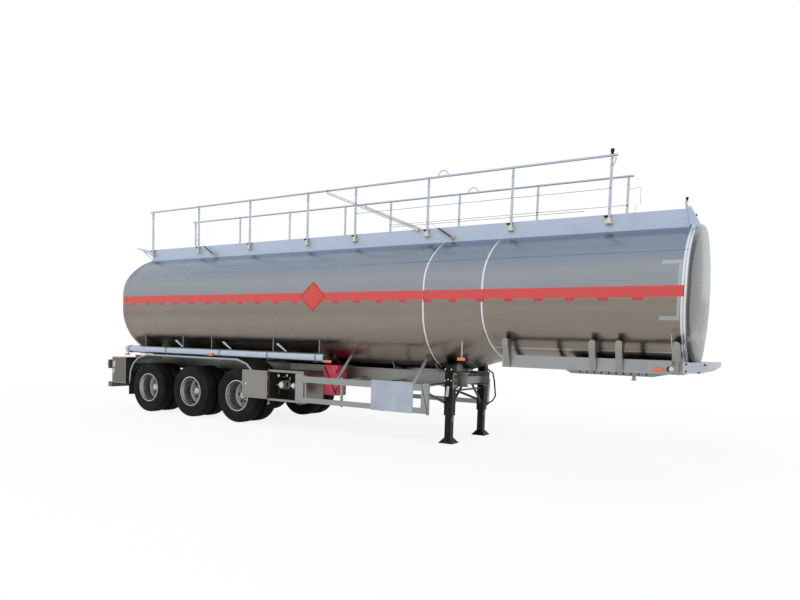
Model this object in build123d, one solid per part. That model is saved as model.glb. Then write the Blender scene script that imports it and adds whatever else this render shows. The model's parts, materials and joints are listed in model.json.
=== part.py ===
from build123d import *
import math
import os

# Three-axle aluminium tanker semitrailer, in millimetres.
# Everything is drawn from the rear axle: +X forward, +Z up, z = 0 on the ground, near side -Y.
# save() then shifts it so that the origin is under the middle of the whole trailer.

# Overall reach and running gear
FRONT_REACH = 10800.0      # rear axle to the nose of the front box
REAR_REACH = 1520.0        # rear axle to the back of the bumper
AXLE_PITCH = 1310.0
AXLE_COUNT = 3
AXLES = [i * AXLE_PITCH for i in range(AXLE_COUNT)]
TYRE_RADIUS = 520.0
TYRE_WIDTH = 260.0
TRACK = 1840.0             # middle of one twin pair to the middle of the other
GUARD_EDGE = TRACK / 2 + 305.0   # middle of the trailer to the edge of a mudguard
GUARD_INNER = 625.0
TWIN_PITCH = 340.0
RIM_RADIUS = 298.0
BEAD_RADIUS = 286.0
BEAD_INSET = 30.0
RIM_BORE = 262.0
DISC_THICKNESS = 14.0
HAND_HOLES = 8
SPINDLE_RADIUS = 42.0
AXLE_RADIUS = 75.0
RUNNING_FIT = 0.05
HUB_RADIUS = 105.0

# Tank barrel
TANK_HALF_WIDTH = 1245.0
TANK_REAR = -750.0         # seam of the rear head
STEP_REAR = 6714.0         # seam where the deep rear part starts to taper
STEP_FRONT = 7689.0        # seam where the taper ends
TANK_FRONT = FRONT_REACH - 322.0   # seam of the front head
REAR_HEAD = 230.0          # bulge of the rear head behind its seam
FRONT_HEAD = 172.0
HEAD_RADIUS = 7000.0       # crown radius of both heads
KNUCKLE = 75.0
SEAM_WIDTH = 26.0
SEAM_HEIGHT = 5.0
# Barrel sections: belly height, side from and to, crown height, lower and upper corner radius
DEEP_SECTION = dict(belly=1130.0, side_low=2200.0, side_high=2500.0, crown=3420.0,
                    low_r=TANK_HALF_WIDTH - 295.0,
                    high_r=TANK_HALF_WIDTH - 605.0)
SHALLOW_SECTION = dict(belly=1410.0, side_low=2300.0, side_high=2500.0, crown=3420.0,
                       low_r=TANK_HALF_WIDTH - 545.0,
                       high_r=TANK_HALF_WIDTH - 605.0)
SEAT = 0.3                 # gap that a piece keeps from the curved skin that carries it

# Walkway on top
BOARD_FACE = TANK_HALF_WIDTH - 690.0   # outer face of the boards beside the walkway
BOARD_THICKNESS = 6.0
BOARD_TOP = 3550.0
BOARD_BASE = 3240.0
WALK_REAR = -760.0
WALK_FRONT = TANK_FRONT - 68.0
FRONT_PLATE_TOP = 3660.0
FLAP_REACH = 560.0
FLAP_RISE = 170.0

# Handrails, which fold forward on pinned posts
RAIL_Y = BOARD_FACE + 29.0
POST_PITCH = 1492.5
POST_X = [-710.0 + i * POST_PITCH for i in range(4)] + [4872.0 + i * POST_PITCH for i in range(4)]
POST_RADIUS = 20.0
BAR_RADIUS = 18.0
PIVOT_Z = BOARD_TOP - 70.0
RAIL_RISE = 903.0          # pivot to the bar
BAR_Z = PIVOT_Z + RAIL_RISE
LUG_DROP = 45.0            # bar to the pin under it
PIN_RADIUS = 8.0
CHEEK_SPAN = 60.0          # board to the outer cheek
CHEEK_FOOT = 60.0          # the cheeks below their pin
CHEEK_HALF = 45.0
CHEEK_TIP = 22.0
STOP_REACH = 72.0
STOP_RISE = 48.0           # rubber buffer above the pin
BAR_OVERHANG = 70.0
STRUT_POSTS = (1, 5)       # the posts that have a gas strut
STRUT_Y = RAIL_Y + 48.0
STRUT_REACH = 485.0        # post pivot forward to the strut's lower pin
STRUT_DROP = 110.0
STRUT_RISE = 200.0
BARREL_RADIUS = 14.0
BARREL_END = 300.0
ROD_RADIUS = 6.0
ROD_LENGTH = 295.0
HOOP_X = 6632.0
HOOP_RADIUS = 95.0

# Manholes on the crown
MANHOLES = (1530.0, 4320.0, TANK_FRONT - 1878.0)
COLLAR_RADIUS = 270.0
LID_RADIUS = 285.0
COLLAR_TOP = 3476.0
LID_THICKNESS = 24.0

# Frame under the tank
BEAM_Y = 450.0
BEAM_REAR = -1380.0
BEAM_FRONT = 7150.0
BEAM_LOW = 930.0
BEAM_HIGH = 1170.0
MEMBER_X = (-1340.0, -655.0, 655.0, 1965.0, 3275.0, 4600.0, 5800.0, 7000.0)
MEMBER_HALF = 35.0
MEMBER_LOW = 970.0
MEMBER_HIGH = 1090.0
SADDLE_X = (-655.0, 655.0, 1965.0, 3275.0, 4600.0, 5800.0, 6650.0)
SADDLE_HALF = 6.0
FLANGE_WIDTH = 120.0
FLANGE = 12.0
WEB = 10.0
SPRING_TOP = 716.0
LEAF = 26.0
COUPLER_Y = TANK_HALF_WIDTH - 295.0
COUPLER_LOW = 1310.0
COUPLER_HIGH = 1495.0
COUPLER_REAR = 7950.0
BOX_REAR = TANK_FRONT + 22.0
BOX_HALF_WIDTH = TANK_HALF_WIDTH - 145.0
BOX_LOW = 1340.0
KINGPIN_X = FRONT_REACH - 1100.0
KINGPIN_RADIUS = 25.4
PIN_SHANK = 60.0
PIN_FOOT = 24.0
PIN_FOOT_RADIUS = 36.0
PLATE_LOW = 1250.0
PLATE_REAR = KINGPIN_X - 850.0
PLATE_FRONT = KINGPIN_X + 600.0
PLATE_HALF = 520.0
COUPLER_MEMBERS = (COUPLER_REAR + 50.0, KINGPIN_X - 1000.0, KINGPIN_X - 400.0, KINGPIN_X + 200.0,
                   BOX_REAR - 50.0)
RIB_X = (COUPLER_REAR + 90.0, KINGPIN_X - 380.0, KINGPIN_X - 20.0, TANK_FRONT - 78.0)
RIB_HALF = 45.0
RIB_REACH = 150.0
RIB_TOP = 1745.0

# Air tanks between the beams
AIR_TANK_X = (3420.0, 4700.0)
AIR_TANK_LENGTH = 1000.0
AIR_TANK_RADIUS = 120.0
AIR_TANK_Y = 200.0
AIR_TANK_Z = 1010.0

# Rear end
BUMPER_HALF = 1140.0
BUMPER_LOW = 450.0
BUMPER_HIGH = 560.0
PANEL_HALF = 1150.0
PANEL_LOW = 860.0
PANEL_HIGH = 1060.0
LAMP_Y = (1080.0, 960.0, 840.0)
LAMP_HALF = 50.0
LADDER_X = -1130.0
LADDER_HALF = 200.0
RUNG_LOW = 1200.0
RUNG_PITCH = 290.0
RUNGS = 8

# Landing legs
LEG_X = 6931.0
LEG_Y = 644.0
LEG_WIDTH = 140.0
LEG_TOP = 1290.0
LEG_LOW = 460.0
INNER_WIDTH = 110.0
SHOE_WIDTH = 260.0
CRANK_HIGH = 1180.0
CRANK_LOW = 860.0

# Things along the sides
GUARD_Y = 1220.0
GUARD_REAR = 4290.0
GUARD_FRONT = 6830.0
GUARD_RAILS = ((870.0, 980.0), (510.0, 600.0))
GUARD_RAIL_THICK = 28.0
GUARD_POSTS = (GUARD_REAR + 20.0, 5110.0, 5950.0, GUARD_FRONT - 20.0)
HANGERS = ((4970.0, 5060.0), (6500.0, 6590.0))   # a guard hanger's foot and its top
HANGER_TOP_Y = TANK_HALF_WIDTH - 465.0
BOARD_X = (5750.0, 6560.0)
BOARD_Z = (500.0, 1000.0)
CABINET = dict(rear=3420.0, front=4280.0, low=490.0, high=1060.0, face=TRACK / 2 + 283.0, depth=560.0)
OUTLETS = ((3670.0, 74.0), (3960.0, 62.0))       # place and flange radius of a capped coupling
DOORWAY = dict(rear=3465.0, front=4085.0, low=530.0, high=1020.0)
LEAF_WIDTH = 645.0
LEAF_THICKNESS = 16.0
LEAF_GAP = 4.0             # hinge line to the leaf's nearer face
DOOR_CLEARANCE = 5.0       # closed leaf to the face it closes
TAIL_LEAF = 14.0
TAIL_BOX = dict(rear=-1320.0, front=-820.0, low=550.0, high=1130.0, face=TRACK / 2 + 230.0, depth=450.0)
HOSE_Y = TANK_HALF_WIDTH - 95.0
HOSE_Z = 1325.0
HOSE_RADIUS = 75.0
HOSE_REAR = -770.0
HOSE_FRONT = 4700.0
HOSE_BANDS = (-644.0, 562.0, 2145.0, 3400.0, 4540.0)
HOSE_ARMS = (-300.0, 900.0, 1750.0, 3400.0, 4500.0)
BAND_PROUD = 6.0
HOSE_MARKERS = ((-688.0, 1207.0), (1909.0, 1286.0), (4842.0, 1265.0))   # amber lamps on the hose carriers
MARKER_PROUD = 13.0        # carrier to the lamp's face
TAPER_MARKER = (7288.0, 1000.0, 1400.0)
FRONT_MARKER = (KINGPIN_X + 476.0, 1371.0)
MARKER_SIZE = (130.0, 24.0, 46.0)
GUARD_TOP = 1230.0
BOTTLE_X = (4480.0, 4800.0)
BOTTLE_Z = (650.0, 1190.0)
BOTTLE_OUTER = 900.0
BOTTLE_INNER = 640.0
HINGE_PIN = 4.0
KNUCKLE_LENGTH = 60.0
EAR = 8.0
GUARD_SHEET = 6.0
ARCH_REAR = -630.0
ARCH = ((ARCH_REAR, 640.0), (-600.0, 860.0), (-510.0, 1020.0), (-330.0, 1150.0), (-40.0, GUARD_TOP),
        (AXLES[-1] + 10, GUARD_TOP), (AXLES[-1] + 280, 1150.0), (AXLES[-1] + 470, 980.0),
        (AXLES[-1] + 560, 880.0))
STAY_X = (100.0, 500.0, 1810.0, 2500.0)
FLAP_LOW = 330.0
WALL = 4.0

SHIFT = (REAR_REACH - FRONT_REACH) / 2


def save(name, *pieces):
    """Writes one node, shifted so that the origin is under the trailer's middle."""
    solids = []
    for piece in pieces:
        solids.extend(piece.solids())
    export_step(Compound(children=[solid.moved(Location((SHIFT, 0, 0))) for solid in solids]),
                f"parts/{name}.step")


def block(x, y, z):
    """A box between two values on each axis."""
    middle = Pos((x[0] + x[1]) / 2, (y[0] + y[1]) / 2, (z[0] + z[1]) / 2)
    return middle * Box(abs(x[1] - x[0]), abs(y[1] - y[0]), abs(z[1] - z[0]))


def both(piece):
    """The piece and its mirror image on the other side."""
    return [piece, mirror(piece, about=Plane.XZ)]


def rod(start, end, radius):
    """A round bar from one point to another."""
    line = Vector(*end) - Vector(*start)
    return extrude(Plane(origin=start, z_dir=line) * Circle(radius), amount=line.length)


def cross_pin(x, z, y, radius):
    """A round bar across the trailer, between two values of y."""
    return rod((x, min(y), z), (x, max(y), z), radius)


def side_plate(points, y):
    """A flat plate from points (x, z), between two values of y."""
    low, high = min(y), max(y)
    face = Plane(origin=(0, low, 0), x_dir=(1, 0, 0),
                 z_dir=(0, -1, 0)) * make_face(Polyline(*points, close=True))
    return extrude(face, amount=-(high - low))


def cross_plate(points, x):
    """A flat plate from points (y, z), between two values of x."""
    face = Plane(origin=(x[0], 0, 0), x_dir=(0, 1, 0),
                 z_dir=(1, 0, 0)) * make_face(Polyline(*points, close=True))
    return extrude(face, amount=x[1] - x[0])


# Tank

def shoulder(side_z, crown_z, corner_r, half_width):
    """Where a corner arc meets the crown arc, and its middle point, on the side y > 0."""
    height = abs(crown_z - side_z)
    way = 1 if crown_z > side_z else -1
    crown_r = ((half_width - corner_r) ** 2 + height ** 2 - corner_r ** 2) / (2 * (height - corner_r))
    angle = math.atan2(crown_r - height, half_width - corner_r)
    centre = half_width - corner_r
    meet = (centre + corner_r * math.cos(angle), side_z + way * corner_r * math.sin(angle))
    middle = (centre + corner_r * math.cos(angle / 2), side_z + way * corner_r * math.sin(angle / 2))
    return meet, middle


def barrel_face(x, section, grow=0.0):
    """The barrel's section at x, made of arcs and two straight sides, grown outwards by a distance."""
    half = TANK_HALF_WIDTH + grow
    belly, crown = section["belly"] - grow, section["crown"] + grow
    low, low_mid = shoulder(section["side_low"], belly, section["low_r"] + grow, half)
    high, high_mid = shoulder(section["side_high"], crown, section["high_r"] + grow, half)
    other = lambda point: (-point[0], point[1])
    side_low, side_high = (half, section["side_low"]), (half, section["side_high"])
    edges = [
        ThreePointArc(other(low), (0, belly), low),
        ThreePointArc(low, low_mid, side_low),
        Line(side_low, side_high),
        ThreePointArc(side_high, high_mid, high),
        ThreePointArc(high, (0, crown), other(high)),
        ThreePointArc(other(high), other(high_mid), other(side_high)),
        Line(other(side_high), other(side_low)),
        ThreePointArc(other(side_low), other(low_mid), other(low)),
    ]
    return Plane(origin=(x, 0, 0), x_dir=(0, 1, 0), z_dir=(1, 0, 0)) * make_face(edges)


def head(x, bulge, section, way):
    """A dished head: the barrel's section cut by a large ball, its rim rounded."""
    prism = extrude(barrel_face(x, section), amount=way * bulge)
    middle_z = (section["belly"] + section["crown"]) / 2
    ball = Pos(x + way * (bulge - HEAD_RADIUS), 0, middle_z) * Rot(0, 0, 90) * Sphere(HEAD_RADIUS)
    dish = prism & ball
    rim = dish.faces().filter_by(GeomType.SPHERE)[0].edges()
    return fillet(rim, KNUCKLE)


def barrel(grow=0.0):
    """The deep rear part, the taper and the shallow front part."""
    deep = extrude(barrel_face(TANK_REAR, DEEP_SECTION, grow), amount=STEP_REAR - TANK_REAR)
    taper = loft([barrel_face(STEP_REAR, DEEP_SECTION, grow),
                  barrel_face(STEP_FRONT, SHALLOW_SECTION, grow)], ruled=True)
    shallow = extrude(barrel_face(STEP_FRONT, SHALLOW_SECTION, grow), amount=TANK_FRONT - STEP_FRONT)
    return deep + taper + shallow


def tank():
    """The closed tank with its raised seams."""
    shell = barrel() + head(TANK_REAR, REAR_HEAD, DEEP_SECTION, -1)
    shell += head(TANK_FRONT, FRONT_HEAD, SHALLOW_SECTION, 1)
    seams = (
        (TANK_REAR, DEEP_SECTION),
        (STEP_REAR - SEAM_WIDTH, DEEP_SECTION),
        (STEP_FRONT, SHALLOW_SECTION),
        (TANK_FRONT - 2.2 * SEAM_WIDTH, SHALLOW_SECTION),
        (TANK_FRONT, SHALLOW_SECTION),
    )
    for x, section in seams:
        shell += extrude(barrel_face(x, section, SEAM_HEIGHT), amount=SEAM_WIDTH)
    return shell


def tank_room(shell):
    """The tank and its skin's clearance, which everything that carries it is cut to."""
    return barrel(SEAT) + shell


def clear_of_tank(piece, keep_out):
    """The piece with the tank's room cut away."""
    return piece - keep_out


# Walkway

def walkway(keep_out):
    """The two boards, the raised front plate and the rear flap that close in the walkway."""
    board = block((WALK_REAR, WALK_FRONT), (-BOARD_FACE, BOARD_THICKNESS - BOARD_FACE),
                  (BOARD_BASE, BOARD_TOP))
    lip = block((WALK_REAR, WALK_FRONT), (-BOARD_FACE, 30 - BOARD_FACE),
                (BOARD_TOP, BOARD_TOP + BOARD_THICKNESS))
    boards = both(board + lip)
    lean = 70.0
    front = side_plate([(WALK_FRONT, BOARD_BASE), (WALK_FRONT + 12, BOARD_BASE),
                        (WALK_FRONT + 12 - lean, FRONT_PLATE_TOP), (WALK_FRONT - lean, FRONT_PLATE_TOP)],
                       (-BOARD_FACE - 25, BOARD_FACE + 25))
    flap = side_plate([(WALK_REAR, BOARD_TOP - 120),
                       (WALK_REAR - FLAP_REACH, BOARD_TOP - 30 + FLAP_RISE - 70),
                       (WALK_REAR - FLAP_REACH, BOARD_TOP - 25 + FLAP_RISE - 70),
                       (WALK_REAR, BOARD_TOP - 105)],
                      (-BOARD_FACE, BOARD_FACE))
    rear = block((WALK_REAR, WALK_REAR + BOARD_THICKNESS), (-BOARD_FACE, BOARD_FACE),
                 (BOARD_BASE, BOARD_TOP))
    whole = boards[0] + boards[1] + front + rear + flap
    return clear_of_tank(whole, keep_out)


def rail_brackets():
    """At each post an outer and an inner cheek on a base, with the pivot pin."""
    pieces = []
    low, tip = PIVOT_Z - CHEEK_FOOT, PIVOT_Z + CHEEK_TIP
    outside = -BOARD_FACE - CHEEK_SPAN
    for x in POST_X:
        base = block((x - CHEEK_HALF, x + CHEEK_HALF), (outside, -BOARD_FACE), (low, low + 12))
        cheek = [(x - CHEEK_HALF, low), (x + CHEEK_HALF, low), (x + CHEEK_TIP, tip), (x - CHEEK_TIP, tip)]
        inner = side_plate(cheek, (-BOARD_FACE - 5, -BOARD_FACE))
        outer = side_plate(cheek, (outside, outside + 6))
        pin = cross_pin(x, PIVOT_Z, (outside, -BOARD_FACE), PIN_RADIUS)
        stop_arm = block((x - STOP_REACH, x - 40), (-BOARD_FACE - 6, -BOARD_FACE),
                         (low, PIVOT_Z + STOP_RISE + 14))
        pieces += both(base + inner + outer + pin + stop_arm)
    return pieces


def rail_stops():
    """A rubber buffer behind each post, which keeps it from leaning back."""
    pieces = []
    z = PIVOT_Z + STOP_RISE
    for x in POST_X:
        pieces += both(rod((x - STOP_REACH, -RAIL_Y, z), (x - POST_RADIUS - 1.0, -RAIL_Y, z), 14)
                       + block((x - STOP_REACH, x - 50), (-RAIL_Y, -BOARD_FACE - 6), (z - 10, z + 10)))
    return pieces


def rail_post(x, has_strut):
    """One post with its pivot boss and the fork that takes the bar's lug."""
    top = BAR_Z - LUG_DROP
    post = rod((x, -RAIL_Y, PIVOT_Z), (x, -RAIL_Y, top - 45), POST_RADIUS)
    boss = cross_pin(x, PIVOT_Z, (-RAIL_Y - 20, -RAIL_Y + 20), 22)
    fork = block((x - 15, x + 15), (-RAIL_Y - 15, -RAIL_Y + 15), (top - 60, top + 8))
    fork += cross_pin(x, top, (-RAIL_Y - 15, -RAIL_Y + 15), 15)
    slot = block((x - 30, x + 30), (-RAIL_Y - 5, -RAIL_Y + 5), (top - 40, top + 40))
    pin = cross_pin(x, top, (-RAIL_Y - 19, -RAIL_Y + 19), 6)
    post = post + boss + (fork - slot) + pin - cross_pin(x, PIVOT_Z, (-RAIL_Y - 30, -RAIL_Y + 30),
                                                         PIN_RADIUS + RUNNING_FIT)
    if has_strut:
        post += cross_pin(x, PIVOT_Z + STRUT_RISE, (-STRUT_Y + 10, -RAIL_Y), 8)
    return both(post)


def rail_bars():
    """The two long bars with a lug at each post and a grab hoop."""
    bar = rod((POST_X[0] - BAR_OVERHANG, -RAIL_Y, BAR_Z), (POST_X[-1] + BAR_OVERHANG, -RAIL_Y, BAR_Z),
              BAR_RADIUS)
    for x in POST_X:
        lug = block((x - 13, x + 13), (-RAIL_Y - 4, -RAIL_Y + 4), (BAR_Z - LUG_DROP, BAR_Z))
        lug += cross_pin(x, BAR_Z - LUG_DROP, (-RAIL_Y - 4, -RAIL_Y + 4), 13)
        bar += lug - cross_pin(x, BAR_Z - LUG_DROP, (-RAIL_Y - 30, -RAIL_Y + 30), 6 + RUNNING_FIT)
    ring = Pos(HOOP_X, -RAIL_Y, BAR_Z) * Rot(90, 0, 0) * Torus(HOOP_RADIUS, 8)
    hoop = ring & block((HOOP_X - 200, HOOP_X + 200), (-RAIL_Y - 50, -RAIL_Y + 50), (BAR_Z, BAR_Z + 200))
    return both(bar + hoop)


def strut_ends(x):
    """The lower pin's place, and the strut's direction from there to the post."""
    low = Vector(x + STRUT_REACH, -STRUT_Y, PIVOT_Z - STRUT_DROP)
    high = Vector(x, -STRUT_Y, PIVOT_Z + STRUT_RISE)
    return low, high, (high - low).normalized()


def strut_barrel(x):
    """The gas strut's cylinder, bored for its rod."""
    low, high, way = strut_ends(x)
    tube = rod(low, low + way * BARREL_END, BARREL_RADIUS)
    bore = rod(low + way * 25, low + way * (BARREL_END + 5), ROD_RADIUS + 0.5)
    eye = cross_pin(low.X, low.Z, (-STRUT_Y - 10, -STRUT_Y + 10), 15)
    hole = cross_pin(low.X, low.Z, (-STRUT_Y - 20, -STRUT_Y + 20), PIN_RADIUS + RUNNING_FIT)
    return both(tube + eye - bore - hole)


def strut_rod(x):
    """The strut's rod, whose eye stands beside the post's stub."""
    low, high, way = strut_ends(x)
    shaft = rod(high - way * ROD_LENGTH, high, ROD_RADIUS)
    return both(shaft + cross_pin(high.X, high.Z, (-STRUT_Y - 8, -STRUT_Y + 8), 12))


def strut_mounts():
    """The pins on the boards that carry the struts' lower eyes."""
    pieces = []
    for index in STRUT_POSTS:
        low, high, way = strut_ends(POST_X[index])
        foot = block((low.X - 25, low.X + 25), (-BOARD_FACE - 40, -BOARD_FACE), (low.Z - 25, low.Z + 25))
        pin = cross_pin(low.X, low.Z, (-STRUT_Y - 14, -BOARD_FACE - 20), PIN_RADIUS)
        pieces += both(foot + pin)
    return pieces


# Manholes

def manhole_collars(keep_out):
    """A short round neck on the crown at each manhole, with the lid's hinge ears."""
    pieces = []
    for x in MANHOLES:
        neck = Pos(x, 0, (3360 + COLLAR_TOP) / 2) * Cylinder(COLLAR_RADIUS, COLLAR_TOP - 3360)
        ears = both(side_plate([(x - LID_RADIUS - 45, COLLAR_TOP - 40),
                                (x - COLLAR_RADIUS + 20, COLLAR_TOP - 40),
                                (x - COLLAR_RADIUS + 20, COLLAR_TOP - 6),
                                (x - LID_RADIUS - 8, COLLAR_TOP - 6),
                                (x - LID_RADIUS - 8, COLLAR_TOP + 22),
                                (x - LID_RADIUS - 45, COLLAR_TOP + 22)], (-60, -46)))
        pivot = cross_pin(x - LID_RADIUS - 25, COLLAR_TOP + 11, (-70, 70), 6 + RUNNING_FIT)
        pieces.append(clear_of_tank(neck + ears[0] + ears[1] - pivot, keep_out))
    return pieces


def manhole_lid(x):
    """A round lid with a raised middle, a hinge knuckle and a clamp handle."""
    low = COLLAR_TOP + 1.0
    plate = Pos(x, 0, low + LID_THICKNESS / 2) * Cylinder(LID_RADIUS, LID_THICKNESS)
    dome = Pos(x, 0, low + LID_THICKNESS + 9) * Cylinder(120, 18)
    arm = block((x - LID_RADIUS - 25, x - LID_RADIUS + 40), (-40, 40), (low, low + 20))
    knuckle = cross_pin(x - LID_RADIUS - 25, low + 10, (-59.5, 59.5), 6)
    arm += cross_pin(x - LID_RADIUS - 25, low + 10, (-40, 40), 10)
    latch = block((x + LID_RADIUS - 60, x + LID_RADIUS + 20), (-25, 25),
                  (low + LID_THICKNESS, low + LID_THICKNESS + 16))
    return plate + dome + arm + knuckle + latch


# Wheels and axles

def wheel_tyres(x, side):
    """The twin tyres of one wheel end."""
    tyres = []
    for middle in (TRACK / 2 - TWIN_PITCH / 2, TRACK / 2 + TWIN_PITCH / 2):
        half = TYRE_WIDTH / 2
        outline = [(-half + BEAD_INSET, BEAD_RADIUS), (-half, RIM_RADIUS + 70),
                   (-half + 4, TYRE_RADIUS - 55),
                   (-half + 32, TYRE_RADIUS - 8), (-60, TYRE_RADIUS), (60, TYRE_RADIUS),
                   (half - 32, TYRE_RADIUS - 8), (half - 4, TYRE_RADIUS - 55), (half, RIM_RADIUS + 70),
                   (half - BEAD_INSET, BEAD_RADIUS)]
        points = [(x, side * (middle + across), TYRE_RADIUS + up) for across, up in outline]
        face = make_face(Polyline(*points, close=True))
        tyres.append(revolve(face, axis=Axis((x, 0, TYRE_RADIUS), (0, 1, 0))))
    return tyres


def turned(x, side, outline):
    """A body turned about the wheel's axis from points (distance from the middle plane, radius)."""
    points = [(x, side * across, TYRE_RADIUS + up) for across, up in outline]
    return revolve(make_face(Polyline(*points, close=True)), axis=Axis((x, 0, TYRE_RADIUS), (0, 1, 0)))


def wheel_rims(x, side):
    """Twin deep-dish rims bolted back to back on the hub."""
    middle = TRACK / 2
    outer_face = middle + TWIN_PITCH / 2 + TYRE_WIDTH / 2 - 14
    inner_face = middle - TWIN_PITCH / 2 - TYRE_WIDTH / 2 + 14
    barrel_r = BEAD_RADIUS - SEAT
    outer = turned(x, side, [
        (outer_face, RIM_RADIUS), (outer_face, RIM_RADIUS - 16), (outer_face - 22, RIM_BORE + 14),
        (outer_face - 60, RIM_BORE), (middle + 62, RIM_BORE - 4), (middle + 20, RIM_BORE - 58),
        (middle + DISC_THICKNESS, RIM_BORE - 90), (middle + DISC_THICKNESS, HUB_RADIUS),
        (middle, HUB_RADIUS),
        (middle, RIM_BORE - 80), (middle + 10, RIM_BORE - 50), (middle + 50, barrel_r),
        (outer_face - 14, barrel_r), (outer_face - 10, RIM_RADIUS)])
    inner = turned(x, side, [
        (inner_face, RIM_RADIUS), (inner_face, RIM_RADIUS - 16), (inner_face + 22, RIM_BORE + 14),
        (inner_face + 60, RIM_BORE), (middle - 62, RIM_BORE - 4), (middle - 20, RIM_BORE - 58),
        (middle - DISC_THICKNESS, RIM_BORE - 90), (middle - DISC_THICKNESS, HUB_RADIUS),
        (middle, HUB_RADIUS),
        (middle, RIM_BORE - 80), (middle - 10, RIM_BORE - 50), (middle - 50, barrel_r),
        (inner_face + 14, barrel_r), (inner_face + 10, RIM_RADIUS)])
    holes = []
    for i in range(HAND_HOLES):
        angle = 2 * math.pi * i / HAND_HOLES
        across = RIM_BORE - 70
        spot = (x + across * math.cos(angle), side * (middle - 80), TYRE_RADIUS + across * math.sin(angle))
        holes.append(rod(spot, (spot[0], side * (middle + 80), spot[2]), 26))
    return [outer - holes, inner - holes]


def wheel_hub(x, side):
    """The hub with its cap, stud ring and brake drum, bored for the spindle."""
    middle = TRACK / 2
    hub = turned(x, side, [
        (middle - 240, SPINDLE_RADIUS + RUNNING_FIT), (middle - 240, 205), (middle - 60, 205),
        (middle - 45, 190),
        (middle - DISC_THICKNESS - 2, HUB_RADIUS + 60), (middle - DISC_THICKNESS - 2, HUB_RADIUS - 1),
        (middle + 60, HUB_RADIUS - 1), (middle + 66, HUB_RADIUS - 12), (middle + 66, 78), (middle + 130, 70),
        (middle + 138, 60), (middle + 138, 0), (middle + 90, 0),
        (middle + 90, SPINDLE_RADIUS + RUNNING_FIT)])
    return hub


def axle(x):
    """The axle tube with its thinner spindles and the brake flanges."""
    tube = cross_pin(x, TYRE_RADIUS, (-(TRACK / 2 - 270), TRACK / 2 - 270), AXLE_RADIUS)
    spindle = cross_pin(x, TYRE_RADIUS, (-(TRACK / 2 + 80), TRACK / 2 + 80), SPINDLE_RADIUS)
    flanges = both(cross_pin(x, TYRE_RADIUS, (-(TRACK / 2 - 262), -(TRACK / 2 - 250)), 150))
    return tube + spindle + flanges[0] + flanges[1]


def leaf_spring(x):
    """A pack of leaves clamped on top of the axle, each leaf shorter than the one above."""
    pack = None
    for i, half in enumerate((640, 480, 340)):
        low = SPRING_TOP - LEAF * (i + 1)
        leaf = block((x - half, x + half), (-BEAM_Y - 45, -BEAM_Y + 45), (low, low + LEAF))
        pack = leaf if pack is None else pack + leaf
    seat = block((x - 90, x + 90), (-BEAM_Y - 60, -BEAM_Y + 60), (TYRE_RADIUS + 60, SPRING_TOP - 3 * LEAF))
    clamp = block((x - 75, x + 75), (-BEAM_Y - 55, -BEAM_Y + 55), (SPRING_TOP, SPRING_TOP + 30))
    seat -= cross_pin(x, TYRE_RADIUS, (-BEAM_Y - 70, -BEAM_Y + 70), AXLE_RADIUS + SEAT)
    return both(pack + seat + clamp)


def spring_hanger(x):
    """A box hanger that reaches down from the beam to the springs' ends."""
    outline = [(x - 150, BEAM_LOW), (x + 150, BEAM_LOW), (x + 70, 640), (x - 70, 640)]
    cheek = side_plate(outline, (-BEAM_Y - 60, -BEAM_Y - 50))
    other = side_plate(outline, (-BEAM_Y + 50, -BEAM_Y + 60))
    top = block((x - 150, x + 150), (-BEAM_Y - 60, -BEAM_Y + 60), (BEAM_LOW - 10, BEAM_LOW))
    pad = block((x - 60, x + 60), (-BEAM_Y - 60, -BEAM_Y + 60), (SPRING_TOP, SPRING_TOP + 24))
    return both(cheek + other + top + pad)


def brake_chamber(x):
    """A round brake chamber behind the axle with its bracket."""
    can = rod((x - 180, -430, TYRE_RADIUS + 20), (x - 180, -250, TYRE_RADIUS + 20), 80)
    arm = block((x - 190, x - 60), (-400, -380), (TYRE_RADIUS - 10, TYRE_RADIUS + 30))
    return both(can + arm - cross_pin(x, TYRE_RADIUS, (-500, -200), AXLE_RADIUS + SEAT))


# Frame

def beam_web():
    """The near beam's web."""
    return block((BEAM_REAR, BEAM_FRONT), (-BEAM_Y - WEB / 2, -BEAM_Y + WEB / 2), (BEAM_LOW, BEAM_HIGH))


def frame_beams():
    """Two I-beams under the tank with cross members."""
    low = block((BEAM_REAR, BEAM_FRONT), (-BEAM_Y - FLANGE_WIDTH / 2, -BEAM_Y + FLANGE_WIDTH / 2),
                (BEAM_LOW, BEAM_LOW + FLANGE))
    high = block((BEAM_REAR, BEAM_FRONT), (-BEAM_Y - FLANGE_WIDTH / 2, -BEAM_Y + FLANGE_WIDTH / 2),
                 (BEAM_HIGH - FLANGE, BEAM_HIGH))
    sides = both(beam_web() + low + high)
    whole = sides[0] + sides[1]
    for x in MEMBER_X:
        whole += block((x - MEMBER_HALF, x + MEMBER_HALF), (-BEAM_Y, BEAM_Y), (MEMBER_LOW, MEMBER_HIGH))
    edge = BEAM_Y + FLANGE_WIDTH / 2
    for hanger in both(block((BOTTLE_X[0] + 20, BOTTLE_X[1] - 20), (-BOTTLE_INNER, -edge),
                             (BEAM_HIGH - 40, BEAM_HIGH))):
        whole += hanger
    return whole


def saddles(keep_out):
    """Cross plates that carry the tank on the beams, cut to its belly."""
    pieces = []
    wing = TANK_HALF_WIDTH - 485
    outline = [(-590, BEAM_HIGH), (590, BEAM_HIGH), (612, GUARD_TOP + 5), (wing, 1420), (-wing, 1420),
               (-612, GUARD_TOP + 5)]
    for x in SADDLE_X:
        pieces.append(clear_of_tank(cross_plate(outline, (x - SADDLE_HALF, x + SADDLE_HALF)), keep_out))
    return pieces


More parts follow.
